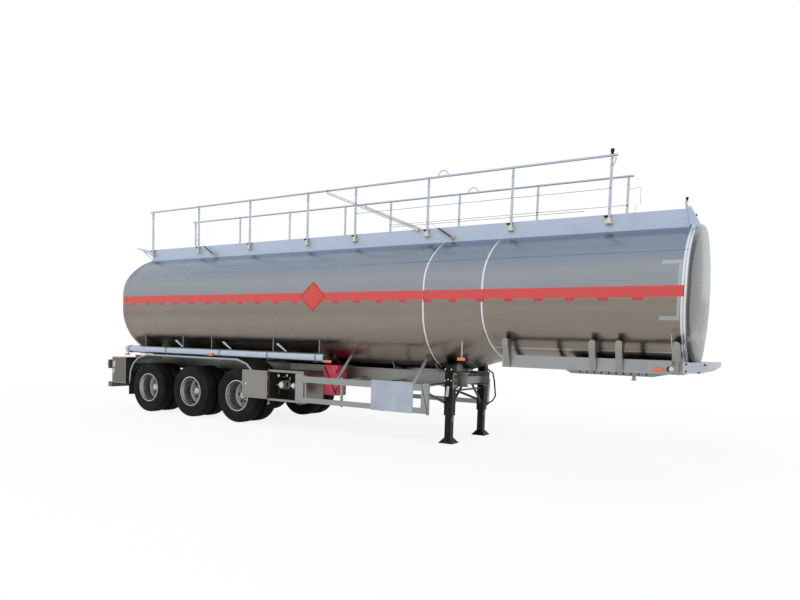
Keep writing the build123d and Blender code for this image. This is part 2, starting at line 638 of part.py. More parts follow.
def coupler(keep_out):
    """The front frame: side channels, cross members, the king-pin plate and the nose box."""
    side = block((COUPLER_REAR, BOX_REAR), (-COUPLER_Y, -COUPLER_Y + 8), (COUPLER_LOW, COUPLER_HIGH))
    side += block((COUPLER_REAR, BOX_REAR), (-COUPLER_Y, -COUPLER_Y + 70), (COUPLER_LOW, COUPLER_LOW + 8))
    side += block((COUPLER_REAR, BOX_REAR), (-COUPLER_Y, -COUPLER_Y + 70), (COUPLER_HIGH - 8, COUPLER_HIGH))
    sides = both(side)
    whole = sides[0] + sides[1]
    for x in COUPLER_MEMBERS:
        whole += block((x - 30, x + 30), (-COUPLER_Y + 4, COUPLER_Y - 4), (COUPLER_LOW, COUPLER_LOW + 90))
    plate = side_plate([(PLATE_REAR, PLATE_LOW + 14), (PLATE_REAR + 50, PLATE_LOW),
                        (PLATE_FRONT - 250, PLATE_LOW),
                        (PLATE_FRONT, PLATE_LOW + 55), (PLATE_FRONT, COUPLER_LOW),
                        (PLATE_REAR, COUPLER_LOW)],
                       (-PLATE_HALF, PLATE_HALF))
    nose = side_plate([(BOX_REAR, BOX_LOW), (FRONT_REACH - 100, BOX_LOW), (FRONT_REACH, BOX_LOW + 70),
                       (FRONT_REACH, COUPLER_HIGH - 15), (BOX_REAR, COUPLER_HIGH - 15)],
                       (-BOX_HALF_WIDTH, BOX_HALF_WIDTH))
    return clear_of_tank(whole + plate + nose, keep_out)


def side_ribs(keep_out):
    """Round-topped channels that join the tank's flank to the front frame."""
    pieces = []
    edge = -COUPLER_Y - RIB_REACH
    bend = RIB_TOP - RIB_HALF
    for x in RIB_X:
        rib = cross_plate([(-COUPLER_Y, COUPLER_LOW), (-COUPLER_Y - 14, COUPLER_LOW), (edge, bend - 60),
                           (edge, RIB_TOP), (-COUPLER_Y + 40, RIB_TOP), (-COUPLER_Y, COUPLER_HIGH)],
                           (x - RIB_HALF, x + RIB_HALF))
        front = block((x - RIB_HALF, x + RIB_HALF), (edge, -COUPLER_Y + 40), (COUPLER_LOW, bend))
        rib &= front + cross_pin(x, bend, (edge, -COUPLER_Y + 40), RIB_HALF)
        pieces += both(clear_of_tank(rib, keep_out))
    return pieces


def kingpin():
    """The king pin that a tractor's coupling holds."""
    neck = PLATE_LOW - PIN_SHANK
    pin = rod((KINGPIN_X, 0, neck), (KINGPIN_X, 0, PLATE_LOW), KINGPIN_RADIUS)
    foot = rod((KINGPIN_X, 0, neck - PIN_FOOT), (KINGPIN_X, 0, neck), PIN_FOOT_RADIUS)
    return pin + foot


# Landing legs

def landing_legs():
    """The outer square tubes with their gearboxes."""
    tube = block((LEG_X - LEG_WIDTH / 2, LEG_X + LEG_WIDTH / 2),
                 (-LEG_Y - LEG_WIDTH / 2, -LEG_Y + LEG_WIDTH / 2), (LEG_LOW, LEG_TOP))
    tube -= block((LEG_X - INNER_WIDTH / 2, LEG_X + INNER_WIDTH / 2),
                  (-LEG_Y - INNER_WIDTH / 2, -LEG_Y + INNER_WIDTH / 2), (LEG_LOW - 20, LEG_TOP - 10))
    return both(tube)


def landing_feet():
    """The inner tubes with flared shoes on the ground."""
    half = INNER_WIDTH / 2 - SEAT
    tube = block((LEG_X - half, LEG_X + half), (-LEG_Y - half, -LEG_Y + half), (90, 900))
    shoe = loft([Plane.XY.offset(0) * Pos(LEG_X, -LEG_Y) * Rectangle(SHOE_WIDTH, SHOE_WIDTH),
                 Plane.XY.offset(90) * Pos(LEG_X, -LEG_Y) * Rectangle(INNER_WIDTH, INNER_WIDTH)], ruled=True)
    return both(tube + shoe)


def landing_braces():
    """The mounting plates, the cross shaft and the diagonal braces of the legs."""
    plate = block((LEG_X - 60, LEG_X + LEG_WIDTH / 2 + 8), (-LEG_Y + LEG_WIDTH / 2, -BEAM_Y - WEB / 2),
                  (BEAM_LOW + FLANGE, BEAM_HIGH - FLANGE))
    gusset = block((LEG_X + LEG_WIDTH / 2, LEG_X + LEG_WIDTH / 2 + 8),
                   (-LEG_Y - 75, -BEAM_Y - FLANGE_WIDTH / 2), (900, BEAM_HIGH))
    whole = both(plate + gusset)
    shaft = cross_pin(LEG_X, 860, (-LEG_Y + LEG_WIDTH / 2, LEG_Y - LEG_WIDTH / 2), 16)
    leg = block((LEG_X - LEG_WIDTH / 2, LEG_X + LEG_WIDTH / 2),
                (-LEG_Y - LEG_WIDTH / 2, -LEG_Y + LEG_WIDTH / 2), (400, LEG_TOP))
    braces = both(rod((LEG_X, -LEG_Y, 575), (LEG_X, -30, 1080), 22) - leg)
    beam = block((BEAM_REAR, BEAM_FRONT), (-BEAM_Y - FLANGE_WIDTH, -BEAM_Y + FLANGE_WIDTH),
                 (BEAM_LOW, BEAM_HIGH))
    back = both(rod((LEG_X, -LEG_Y, 620), (LEG_X - 940, -BEAM_Y, BEAM_LOW + 10), 22) - leg - beam)
    bridge = block((LEG_X - 30, MEMBER_X[-1] - 35), (-60, 60), (1050, 1088))
    return [whole[0] + whole[1] + shaft + bridge + braces[0] + braces[1], back[0], back[1]]


def landing_crank():
    """The crank handle on the far leg, hanging folded down beside it."""
    side = LEG_Y + LEG_WIDTH / 2
    hub = cross_pin(LEG_X, CRANK_HIGH, (side, side + 90), 18)
    drop = rod((LEG_X, side + 80, CRANK_HIGH), (LEG_X, side + 80, CRANK_LOW), 12)
    grip = cross_pin(LEG_X, CRANK_LOW, (side + 75, side + 200), 14)
    return hub + drop + grip


# Side equipment

def hollow_box(size, opening=None):
    """A sheet box on the near side, open where its door closes."""
    outer = block((size["rear"], size["front"]), (-size["face"], -size["face"] + size["depth"]),
                  (size["low"], size["high"]))
    inner = block((size["rear"] + WALL, size["front"] - WALL),
                  (-size["face"] + WALL, -size["face"] + size["depth"] - WALL),
                  (size["low"] + WALL, size["high"] - WALL))
    shell = outer - inner
    if opening:
        shell -= block((opening["rear"], opening["front"]), (-size["face"] - 1, -size["face"] + WALL + 1),
                       (opening["low"], opening["high"]))
    return shell


def valve_cabinet():
    """The discharge cabinet with its hangers to the beam."""
    box = hollow_box(CABINET, DOORWAY)
    inner_y = -CABINET["face"] + CABINET["depth"]
    for x in (CABINET["rear"] + 60, CABINET["front"] - 60):
        box += block((x - 25, x + 25), (inner_y - WALL, -BEAM_Y - WEB / 2),
                     (CABINET["high"] - 60, CABINET["high"] - 10))
    return box + hinge_ears(door_axis(), DOORWAY, CABINET["face"])


def hinge_heights(size):
    """The heights of a door's two hinges."""
    return size["low"] + 100, size["high"] - 100


def hinge_ears(axis, size, face):
    """Two pairs of ears on a cabinet's face, each pair with its pin."""
    pieces = None
    for z in hinge_heights(size):
        pair = Pos(axis[0], axis[1], z) * Cylinder(HINGE_PIN, KNUCKLE_LENGTH + 2 * EAR)
        for low in (z - KNUCKLE_LENGTH / 2 - EAR, z + KNUCKLE_LENGTH / 2 + SEAT):
            pair += block((axis[0] - HINGE_PIN, axis[0] + HINGE_PIN), (axis[1] - HINGE_PIN, -face),
                          (low, low + EAR - SEAT))
        pieces = pair if pieces is None else pieces + pair
    return pieces


def hinge_knuckles(axis, size, leaf_face):
    """The bored knuckles of a leaf, each joined to it by a short strap."""
    pieces = None
    for z in hinge_heights(size):
        bore = Pos(axis[0], axis[1], z) * Cylinder(HINGE_PIN + RUNNING_FIT, KNUCKLE_LENGTH + 2)
        strap = block((axis[0] - 16, axis[0]), (leaf_face, leaf_face + 6),
                      (z - KNUCKLE_LENGTH / 2, z + KNUCKLE_LENGTH / 2))
        barrel_part = Pos(axis[0], axis[1], z) * Cylinder(2 * HINGE_PIN, KNUCKLE_LENGTH)
        knuckle = barrel_part + strap - bore
        pieces = knuckle if pieces is None else pieces + knuckle
    return pieces


def valve_door():
    """The cabinet's leaf, folded back flat along the side as it stands in use."""
    axis_x, axis_y = door_axis()
    near = axis_y - LEAF_GAP - LEAF_THICKNESS
    leaf = block((axis_x - LEAF_WIDTH, axis_x - 5), (near, near + LEAF_THICKNESS),
                 (DOORWAY["low"] - 15, DOORWAY["high"] + 15))
    tray = block((axis_x - LEAF_WIDTH + 30, axis_x - 35), (near + 4, near + LEAF_THICKNESS + 1),
                 (DOORWAY["low"] + 15, DOORWAY["high"] - 15))
    return leaf - tray + hinge_knuckles(door_axis(), DOORWAY, near)


def door_axis():
    """Where the cabinet door's hinge line stands."""
    return DOORWAY["rear"] - 15, -CABINET["face"] - LEAF_GAP - LEAF_THICKNESS - DOOR_CLEARANCE


def valve_outlets():
    """Outlet pipes with valves and capped couplings inside the cabinet."""
    pieces = []
    middle_z = (CABINET["low"] + CABINET["high"]) / 2 + 10
    for x, flange_r in OUTLETS:
        back = -CABINET["face"] + CABINET["depth"] - WALL
        pipe = cross_pin(x, middle_z, (back, -CABINET["face"] + 140), flange_r - 22)
        flange = cross_pin(x, middle_z, (-CABINET["face"] + 140, -CABINET["face"] + 160), flange_r)
        cap = cross_pin(x, middle_z, (-CABINET["face"] + 90, -CABINET["face"] + 140), flange_r - 14)
        valve = cross_pin(x, middle_z, (-CABINET["face"] + 260, -CABINET["face"] + 400), flange_r + 6)
        stem = rod((x, -CABINET["face"] + 330, middle_z), (x, -CABINET["face"] + 330, middle_z + 150), 16)
        lever = rod((x, -CABINET["face"] + 330, middle_z + 140), (x, -CABINET["face"] + 150, middle_z + 150),
                    11)
        pieces.append(pipe + flange + cap + valve + stem + lever)
    return pieces


def tail_box():
    """The small rear cabinet, open on its outer side."""
    opening = dict(rear=TAIL_BOX["rear"] + 30, front=TAIL_BOX["front"] - 30, low=TAIL_BOX["low"] + 30,
                   high=TAIL_BOX["high"] - 30)
    box = hollow_box(TAIL_BOX, opening)
    inner_y = -TAIL_BOX["face"] + TAIL_BOX["depth"]
    for x in (TAIL_BOX["rear"] + 60, TAIL_BOX["front"] - 60):
        box += block((x - 25, x + 25), (inner_y - WALL, -BEAM_Y - FLANGE_WIDTH / 2),
                     (BEAM_LOW, BEAM_LOW + 60))
    return box + hinge_ears(tail_axis(), TAIL_BOX, TAIL_BOX["face"])


def tail_door():
    """The rear cabinet's door, hinged at its front edge."""
    axis_x, axis_y = tail_axis()
    near = axis_y + LEAF_GAP
    leaf = block((TAIL_BOX["rear"] + 5, axis_x - 12), (near, near + TAIL_LEAF),
                 (TAIL_BOX["low"] + 5, TAIL_BOX["high"] - 5))
    return leaf + hinge_knuckles(tail_axis(), TAIL_BOX, near)


def tail_axis():
    """Where the rear cabinet door's hinge line stands."""
    return TAIL_BOX["front"] - 5, -TAIL_BOX["face"] - DOOR_CLEARANCE - TAIL_LEAF - LEAF_GAP


def mudguards(keep_out):
    """One long arch over the three wheels on each side, with its flap behind."""
    sheet = list(ARCH)
    inside = offset_down(sheet, GUARD_SHEET)
    arch = side_plate(sheet + inside[::-1], (-GUARD_EDGE, -GUARD_INNER))
    lip_inside = offset_down(sheet, 34)
    lip = side_plate(sheet + lip_inside[::-1], (-GUARD_EDGE, -GUARD_EDGE + 5))
    guard = arch + lip + block((ARCH_REAR, ARCH_REAR + 12), (-GUARD_EDGE, -GUARD_INNER), (560, 660))
    for x in STAY_X:
        guard += block((x - 20, x + 20), (-900, -BEAM_Y - 20), (BEAM_HIGH, GUARD_TOP - GUARD_SHEET))
    return both(clear_of_tank(guard, keep_out))


def offset_down(points, distance):
    """The points of an arch moved towards its middle by about a distance."""
    middle = ((points[0][0] + points[-1][0]) / 2, 200)
    moved = []
    for x, z in points:
        straight = z >= GUARD_TOP
        way = (0, -1) if straight else (middle[0] - x, middle[1] - z)
        length = math.hypot(*way)
        moved.append((x + way[0] / length * distance, z + way[1] / length * distance))
    return moved


def mudflaps():
    """Rubber flaps behind the rear wheels."""
    return both(block((ARCH_REAR - 10, ARCH_REAR), (-GUARD_EDGE, -GUARD_INNER), (FLAP_LOW, ARCH[0][1])))


def flat_bar(start, end, width, thickness):
    """A flat bar from one point to another, its width lengthwise along the trailer."""
    line = Vector(*end) - Vector(*start)
    plane = Plane(origin=start, x_dir=Vector(1, 0, 0), z_dir=line)
    return extrude(plane * Rectangle(width, thickness), amount=line.length)


def side_guard(keep_out):
    """Two rails on posts between the cabinet and the landing legs, with struts to the beams and
    hangers to the tank's flank."""
    whole = None
    inner = -GUARD_Y + GUARD_RAIL_THICK
    for low, high in GUARD_RAILS:
        rail = block((GUARD_REAR, GUARD_FRONT), (-GUARD_Y, inner), (low, high))
        whole = rail if whole is None else whole + rail
    for x in GUARD_POSTS:
        whole += block((x - 20, x + 20), (inner, inner + 32), (490, 1000))
    for x in GUARD_POSTS[1:]:
        whole += rod((x, inner + 22, 960), (x, -BEAM_Y, BEAM_LOW + 60), 18) - beam_web()
    for foot, top in HANGERS:
        hanger = flat_bar((foot, inner + 8, 900), (top, -HANGER_TOP_Y, 1450), 60, 8)
        whole += clear_of_tank(hanger, keep_out)
    return both(whole)


def sign_board():
    """The blank board on the near side guard."""
    return block(BOARD_X, (-GUARD_Y - 6, -GUARD_Y), BOARD_Z)


def hose_tubes():
    """The round hose carriers along both sides, with end caps and straps."""
    tube = rod((HOSE_REAR, -HOSE_Y, HOSE_Z), (HOSE_FRONT, -HOSE_Y, HOSE_Z), HOSE_RADIUS)
    for x in HOSE_BANDS:
        tube += rod((x - 20, -HOSE_Y, HOSE_Z), (x + 20, -HOSE_Y, HOSE_Z), HOSE_RADIUS + BAND_PROUD)
    return both(tube)


def hose_brackets(keep_out):
    """Arms that hold the hose carriers under the tank's flank."""
    pieces = []
    for x in HOSE_ARMS:
        low = GUARD_TOP + 2
        arm = cross_plate([(-HOSE_Y - 40, low), (-HOSE_Y - 40, low + 12), (-HOSE_Y + 90, low + 12),
                           (-HOSE_Y + 90, 1640), (-HOSE_Y + 450, 1500), (-HOSE_Y + 450, low)],
                           (x - 8, x + 8))
        arm -= rod((x - 20, -HOSE_Y, HOSE_Z), (x + 20, -HOSE_Y, HOSE_Z), HOSE_RADIUS + BAND_PROUD + SEAT)
        pieces += both(clear_of_tank(arm, keep_out))
    return pieces


def extinguisher_boxes():
    """A red box behind the side guard on each side."""
    return both(block(BOTTLE_X, (-BOTTLE_OUTER, -BOTTLE_INNER), BOTTLE_Z))


def air_tanks():
    """Two brake air tanks lengthwise between the beams."""
    pieces = []
    for x in AIR_TANK_X:
        can = rod((x, -AIR_TANK_Y, AIR_TANK_Z), (x + AIR_TANK_LENGTH, -AIR_TANK_Y, AIR_TANK_Z),
                  AIR_TANK_RADIUS)
        for place in (x + 200, x + AIR_TANK_LENGTH - 200):
            can += block((place - 20, place + 20), (-BEAM_Y + WEB / 2, -AIR_TANK_Y),
                         (AIR_TANK_Z + 30, AIR_TANK_Z + 50))
        pieces += both(can)
    return pieces


def bumper():
    """The rear under-run bar on two drop plates, with its cross plate for the lamps."""
    bar = block((-REAR_REACH + 20, -REAR_REACH + 140), (-BUMPER_HALF, BUMPER_HALF),
                (BUMPER_LOW, BUMPER_HIGH))
    posts = both(block((-REAR_REACH + 60, BEAM_REAR), (-BEAM_Y - 40, -BEAM_Y + 40),
                       (BUMPER_HIGH, BEAM_HIGH)))
    panel = block((-REAR_REACH + 30, -REAR_REACH + 60), (-PANEL_HALF, PANEL_HALF), (PANEL_LOW, PANEL_HIGH))
    return bar + posts[0] + posts[1] + panel


def tail_lamps():
    """Rows of square lamps on the rear panel."""
    pieces = []
    middle = (PANEL_LOW + PANEL_HIGH) / 2
    for y in LAMP_Y:
        pieces += both(block((-REAR_REACH, -REAR_REACH + 30), (-y - LAMP_HALF, -y + LAMP_HALF),
                             (middle - 55, middle + 55)))
    return pieces


def marker_lamp(x, face, z):
    """One lamp whose outer face stands at a value of y on the near side."""
    length, depth, height = MARKER_SIZE
    return block((x - length / 2, x + length / 2), (-face, -face + depth), (z - height / 2, z + height / 2))


def marker_lamps(keep_out):
    """Amber lamps along the sides: on the hose carriers, under the taper and on the front frame."""
    pieces = []
    face = HOSE_Y + HOSE_RADIUS + MARKER_PROUD
    foot_y = (-HOSE_Y - 56, -HOSE_Y - 50)
    for x, z in HOSE_MARKERS:
        if x < HOSE_FRONT:
            foot = block((x - 20, x + 20), foot_y, (z, HOSE_Z - 40))
        else:
            foot = block((HOSE_FRONT, x), foot_y, (z - 15, z + 15))
        tube = rod((HOSE_REAR - 9, -HOSE_Y, HOSE_Z), (HOSE_FRONT, -HOSE_Y, HOSE_Z), HOSE_RADIUS + SEAT)
        lamp = marker_lamp(x, face, z) + block((x - 20, x + 20), (-face, foot_y[1]), (z - 12, z + 12)) + foot
        pieces += both(lamp - tube)
    x, y, z = TAPER_MARKER
    arm = block((x - 12, x + 12), (-y, -y + 6), (z, z + 360))
    pieces += both(clear_of_tank(marker_lamp(x, y + MARKER_SIZE[1], z) + arm, keep_out))
    x, z = FRONT_MARKER
    pieces += both(marker_lamp(x, COUPLER_Y + MARKER_SIZE[1], z))
    return pieces


def ladder(keep_out):
    """The ladder up the rear head to the walkway."""
    low, high = RUNG_LOW - 120, RUNG_LOW + RUNG_PITCH * (RUNGS - 1) + 70
    stiles = both(rod((LADDER_X, -LADDER_HALF, low), (LADDER_X, -LADDER_HALF, high), 18))
    whole = stiles[0] + stiles[1]
    for i in range(RUNGS):
        whole += cross_pin(LADDER_X, RUNG_LOW + RUNG_PITCH * i, (-LADDER_HALF, LADDER_HALF), 14)
    hooks = both(rod((LADDER_X, -LADDER_HALF, high - 40), (WALK_REAR - 4, -LADDER_HALF, BOARD_TOP - 140),
                     16))
    feet = both(block((LADDER_X - 18, LADDER_X + 18), (-LADDER_HALF - 25, -LADDER_HALF + 25),
                      (MEMBER_LOW + 20, low + 10)))
    whole += hooks[0] + hooks[1] + feet[0] + feet[1]
    inside = BEAM_Y - WEB / 2
    whole += block((LADDER_X - 18, LADDER_X + 18), (-inside, inside), (MEMBER_LOW, MEMBER_LOW + 60))
    whole -= block((WALK_REAR - 1, WALK_FRONT), (-BOARD_FACE, BOARD_FACE), (BOARD_BASE, BOARD_TOP))
    return clear_of_tank(whole, keep_out)


def main():
    os.makedirs("parts", exist_ok=True)
    shell = tank()
    keep_out = tank_room(shell)
    save("tank", shell)
    save("walkway", walkway(keep_out))
    save("rail_brackets", *rail_brackets(), *strut_mounts())
    save("rail_stops", *rail_stops())
    save("rail_bars", *rail_bars())
    for i, x in enumerate(POST_X):
        save(f"rail_post_{i + 1}", *rail_post(x, i in STRUT_POSTS))
    for i in STRUT_POSTS:
        save(f"strut_barrel_{i + 1}", *strut_barrel(POST_X[i]))
        save(f"strut_rod_{i + 1}", *strut_rod(POST_X[i]))
    save("manhole_collars", *manhole_collars(keep_out))
    for i, x in enumerate(MANHOLES):
        save(f"manhole_lid_{i + 1}", manhole_lid(x))
    for i, x in enumerate(AXLES):
        for name, side in (("right", -1), ("left", 1)):
            save(f"tyres_{name}_{i + 1}", *wheel_tyres(x, side))
            save(f"rims_{name}_{i + 1}", *wheel_rims(x, side), wheel_hub(x, side))
    save("axles", *[axle(x) for x in AXLES])
    springs, chambers = [], []
    for x in AXLES:
        springs += leaf_spring(x)
        chambers += brake_chamber(x)
    save("leaf_springs", *springs)
    save("air_brakes", *chambers, *air_tanks())
    hangers = []
    for i in range(AXLE_COUNT + 1):
        hangers += spring_hanger((i - 0.5) * AXLE_PITCH)
    save("spring_hangers", *hangers)
    save("frame_beams", frame_beams())
    save("tank_brackets", *saddles(keep_out), *side_ribs(keep_out), *hose_brackets(keep_out))
    save("coupler", coupler(keep_out))
    save("kingpin", kingpin())
    near_leg, far_leg = landing_legs()
    save("landing_legs", near_leg, far_leg + landing_crank())
    save("landing_feet", *landing_feet())
    save("landing_braces", *landing_braces())
    save("valve_cabinet", valve_cabinet())
    save("valve_door", valve_door())
    save("valve_outlets", *valve_outlets())
    save("tail_box", tail_box())
    save("tail_door", tail_door())
    save("mudguards", *mudguards(keep_out))
    save("mudflaps", *mudflaps())
    save("side_guards", *side_guard(keep_out))
    save("sign_board", sign_board())
    save("hose_tubes", *hose_tubes())
    save("extinguisher_boxes", *extinguisher_boxes())
    save("bumper", bumper())
    save("tail_lamps", *tail_lamps())
    save("marker_lamps", *marker_lamps(keep_out))
    save("ladder", ladder(keep_out))


if __name__ == "__main__":
    main()
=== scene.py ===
import json
import math

import bmesh
import bpy
import numpy as np
from bpy.props import FloatProperty, FloatVectorProperty, IntProperty, PointerProperty
from mathutils import Matrix, Vector

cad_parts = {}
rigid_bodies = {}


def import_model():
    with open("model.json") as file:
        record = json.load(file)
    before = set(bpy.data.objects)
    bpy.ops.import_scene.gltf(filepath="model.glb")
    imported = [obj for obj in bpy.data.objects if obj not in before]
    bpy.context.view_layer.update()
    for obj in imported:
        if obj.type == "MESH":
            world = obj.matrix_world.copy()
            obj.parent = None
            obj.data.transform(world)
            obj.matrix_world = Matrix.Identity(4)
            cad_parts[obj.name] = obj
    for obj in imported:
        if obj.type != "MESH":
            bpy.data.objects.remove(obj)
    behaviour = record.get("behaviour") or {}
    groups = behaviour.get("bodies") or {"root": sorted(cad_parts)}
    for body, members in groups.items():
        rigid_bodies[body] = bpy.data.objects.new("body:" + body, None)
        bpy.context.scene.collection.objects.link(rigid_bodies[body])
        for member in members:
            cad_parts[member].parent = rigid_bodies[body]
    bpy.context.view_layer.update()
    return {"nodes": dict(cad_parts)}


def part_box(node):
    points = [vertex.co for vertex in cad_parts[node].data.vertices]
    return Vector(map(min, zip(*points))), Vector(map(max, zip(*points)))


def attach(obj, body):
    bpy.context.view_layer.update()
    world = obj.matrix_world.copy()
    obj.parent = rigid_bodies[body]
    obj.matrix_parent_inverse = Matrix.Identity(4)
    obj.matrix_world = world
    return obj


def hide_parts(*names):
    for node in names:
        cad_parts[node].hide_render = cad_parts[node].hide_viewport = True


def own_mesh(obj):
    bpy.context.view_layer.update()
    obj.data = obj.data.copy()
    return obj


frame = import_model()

bl_info = {
    "name": "Tank semitrailer finishes",
    "version": (1, 0, 0),
    "blender": (4, 5, 0),
    "location": "3D View > Sidebar > Tanker",
    "description": "Finishes and fittings of a three-axle polished aluminium tank semitrailer",
    "category": "Object",
}

# Places are given from the rear axle, +X forward, in metres; REAR_AXLE moves them into the frame.
REAR_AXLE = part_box("rims_right_1")[0].x + 0.298
AXLES = (0.0, 1.31, 2.62)
TYRE_RADIUS = 0.52
TRACK = 1.84
TWIN_PITCH = 0.34
TANK_HALF_WIDTH = 1.245
TANK_REAR = -0.75
STEP_REAR = 6.714
STEP_FRONT = 7.689
TANK_FRONT = 10.478
SEAM_WIDTH = 0.026
DEEP = dict(belly=1.13, side_low=2.2, side_high=2.5, crown=3.42, low_r=0.95, high_r=0.64)
SHALLOW = dict(belly=1.41, side_low=2.3, side_high=2.5, crown=3.42, low_r=0.7, high_r=0.64)
BAND_HEIGHT = (2.31, 2.455)
DASH_HEIGHT = (2.268, 2.311)
DASH_PITCH = 0.4503
DASH_LENGTH = 0.135
DIAMOND_X = 4.48
DIAMOND_Z = 2.385
POSTS = [-0.71 + 1.4925 * i for i in range(4)] + [4.872 + 1.4925 * i for i in range(4)]
RAIL_Y = 0.584
PIVOT_Z = 3.48
BAR_Z = 4.383
BOARD_FACE = 0.555
HOOK_Z = 3.56
MANHOLES = (1.53, 4.32, 8.6)
HOSE_Y = 1.15
HOSE_Z = 1.325
HOSE_FRONT = 4.7
HOSE_BANDS = (-0.644, 0.562, 2.145, 3.4, 4.54)
CABINET_FACE = -1.203
BACK = -1.52
FLAP_FACE = -0.64
LEG_X = 6.931
LEG_Y = 0.644
BRACE_EYE_Z = 0.62
ARCH = ((-0.63, 0.64), (-0.6, 0.86), (-0.51, 1.02), (-0.33, 1.15), (-0.04, 1.23), (2.63, 1.23), (2.9, 1.15),
        (3.09, 0.98), (3.18, 0.88))


# Mesh helpers

def smooth_step(low, high, value):
    """0 below low, 1 above high, and 3t^2 - 2t^3 of the share t between them."""
    t = np.clip((value - low) / (high - low), 0.0, 1.0)
    return t * t * (3 - 2 * t)


def loft(rings, closed=True, ends=True, wrap=False):
    """A surface through rings of points (n, m, 3): quads join each point to the next on its ring
    and to the same point of the next ring. Closed rings join their last point to their first, wrap
    joins the last ring to the first, and ends puts one flat face on the first and the last ring."""
    rings = np.asarray(rings, float)
    count, around = rings.shape[:2]
    index = np.arange(count * around).reshape(count, around)
    if wrap:
        index = np.concatenate([index, index[:1]])
    after = np.roll(index, -1, axis=1)
    if not closed:
        index, after = index[:, :-1], after[:, :-1]
    quads = np.stack([index[:-1], after[:-1], after[1:], index[1:]], axis=-1).reshape(-1, 4)
    faces = [quads]
    if ends:
        whole = np.arange(count * around).reshape(count, around)
        faces += [whole[:1, ::-1], whole[-1:]]
    return rings.reshape(-1, 3), faces


def joined(shapes):
    """One (points, faces) pair from several, each one's indices moved past those before it."""
    points, faces, start = [], [], 0
    for verts, groups in shapes:
        points.append(verts)
        faces += [group + start for group in groups]
        start += len(verts)
    return np.concatenate(points), faces


def image(shape):
    """The shape's mirror image in the middle plane, with its faces turned round."""
    verts, groups = shape
    return verts * np.array([1.0, -1.0, 1.0]), [group[:, ::-1] for group in groups]


def mirrored(shape):
    """The shape and its mirror image."""
    return joined([shape, image(shape)])


def paired(shapes):
    """Several shapes joined into one, with their mirror image."""
    return mirrored(joined(shapes))


def copies(shape, places):
    """The shape once at each place: every point is moved by every place at once."""
    verts, groups = shape
    places = np.asarray(places, float).reshape(-1, 3)
    moved = (verts[None] + places[:, None]).reshape(-1, 3)
    steps = np.arange(len(places))[:, None, None] * len(verts)
    return moved, [(group[None] + steps).reshape(-1, group.shape[1]) for group in groups]


def revolved(profile, centre, axis="y", count=48, ends=False):
    """A profile of (distance along the axis, radius) carried round the axis: at angle t a point
    lies radius * (cos t, sin t) off the axis. A closed profile gives a closed ring."""
    profile = np.asarray(profile, float)
    t = np.linspace(0, 2 * np.pi, count, endpoint=False)
    along = np.broadcast_to(profile[:, :1], (len(profile), count))
    across = profile[:, 1:] * np.cos(t)
    up = profile[:, 1:] * np.sin(t)
    order = {"x": (along, across, up), "y": (up, along, across), "z": (across, up, along)}[axis]
    return loft(np.stack(order, axis=-1) + np.asarray(centre, float), ends=ends)


def turned(centre, axis, profile, count=24):
    """A solid of revolution whose profile starts and ends near the axis; its ends are closed."""
    return revolved(profile, centre, axis, count, ends=True)


def collar(length, inner, outer, edge):
    """The profile of a sleeve of some length, from its inner radius to its outer one over its edges."""
    return [(0.0, inner), (edge, outer), (length - edge, outer), (length, inner)]


def bar(start, end, radius, count=16):
    """A round bar: a circle of a radius carried in a straight line from start to end."""
    return pipe([start, end], radius, count)


def pipe(path, radius, count=16):
    """A circle carried along a path of points, square to the path's mean direction at each."""
    path = np.asarray(path, float)
    ahead = np.gradient(path, axis=0)
    ahead /= np.linalg.norm(ahead, axis=1, keepdims=True)
    along_frame = np.ptp(path[:, 1]) < 0.7 * np.ptp(path[:, (0, 2)], axis=0).max()
    guide = np.array([0.0, 1.0, 0.0]) if along_frame else np.array([1.0, 0.0, 0.0])
    side = np.cross(guide, ahead)
    side /= np.linalg.norm(side, axis=1, keepdims=True)
    up = np.cross(ahead, side)
    t = np.linspace(0, 2 * np.pi, count, endpoint=False)
    radius = np.broadcast_to(np.asarray(radius, float), len(path))[:, None, None]
    circle = np.cos(t)[None, :, None] * side[:, None] + np.sin(t)[None, :, None] * up[:, None]
    return loft(path[:, None] + radius * circle)


def slab(outline, low, high, axis="y"):
    """A flat outline of (u, v) points carried from low to high along an axis: a plate. The outline
    lies in (z, x) for axis y, (y, z) for axis x, and (x, y) for axis z."""
    outline = np.asarray(outline, float)
    area = np.sum(outline[:, 0] * np.roll(outline[:, 1], -1) - np.roll(outline[:, 0], -1) * outline[:, 1])
    if area < 0:
        outline = outline[::-1]
    u, v = outline[:, 0], outline[:, 1]
    rings = []
    for at in (low, high):
        flat = np.full(len(outline), at)
        rings.append(np.stack({"x": (flat, u, v), "y": (v, flat, u), "z": (u, v, flat)}[axis], axis=-1))
    return loft(rings)


def box(x, y, z, corner=0.0, axis="y"):
    """A block between two values on each axis; a corner radius rounds its outline along the axis."""
    spans = {"x": (y, z, x), "y": (z, x, y), "z": (x, y, z)}[axis]
    (u0, u1), (v0, v1), (low, high) = spans
    if corner <= 0:
        outline = [(u0, v0), (u1, v0), (u1, v1), (u0, v1)]
    else:
        t = np.linspace(0, np.pi / 2, 5)
        arc = np.stack([np.cos(t), np.sin(t)], axis=-1) * corner
        left, right, bottom, top = u0 + corner, u1 - corner, v0 + corner, v1 - corner
        middles = ((left, bottom), (right, bottom), (right, top), (left, top))
        quarter_turns = (((-1, 0), (0, -1)), ((0, 1), (-1, 0)), ((1, 0), (0, 1)), ((0, -1), (1, 0)))
        arcs = [arc @ np.array(turn) + middle for turn, middle in zip(quarter_turns, middles)]
        outline = np.concatenate(arcs)
    return slab(outline, low, high, axis)


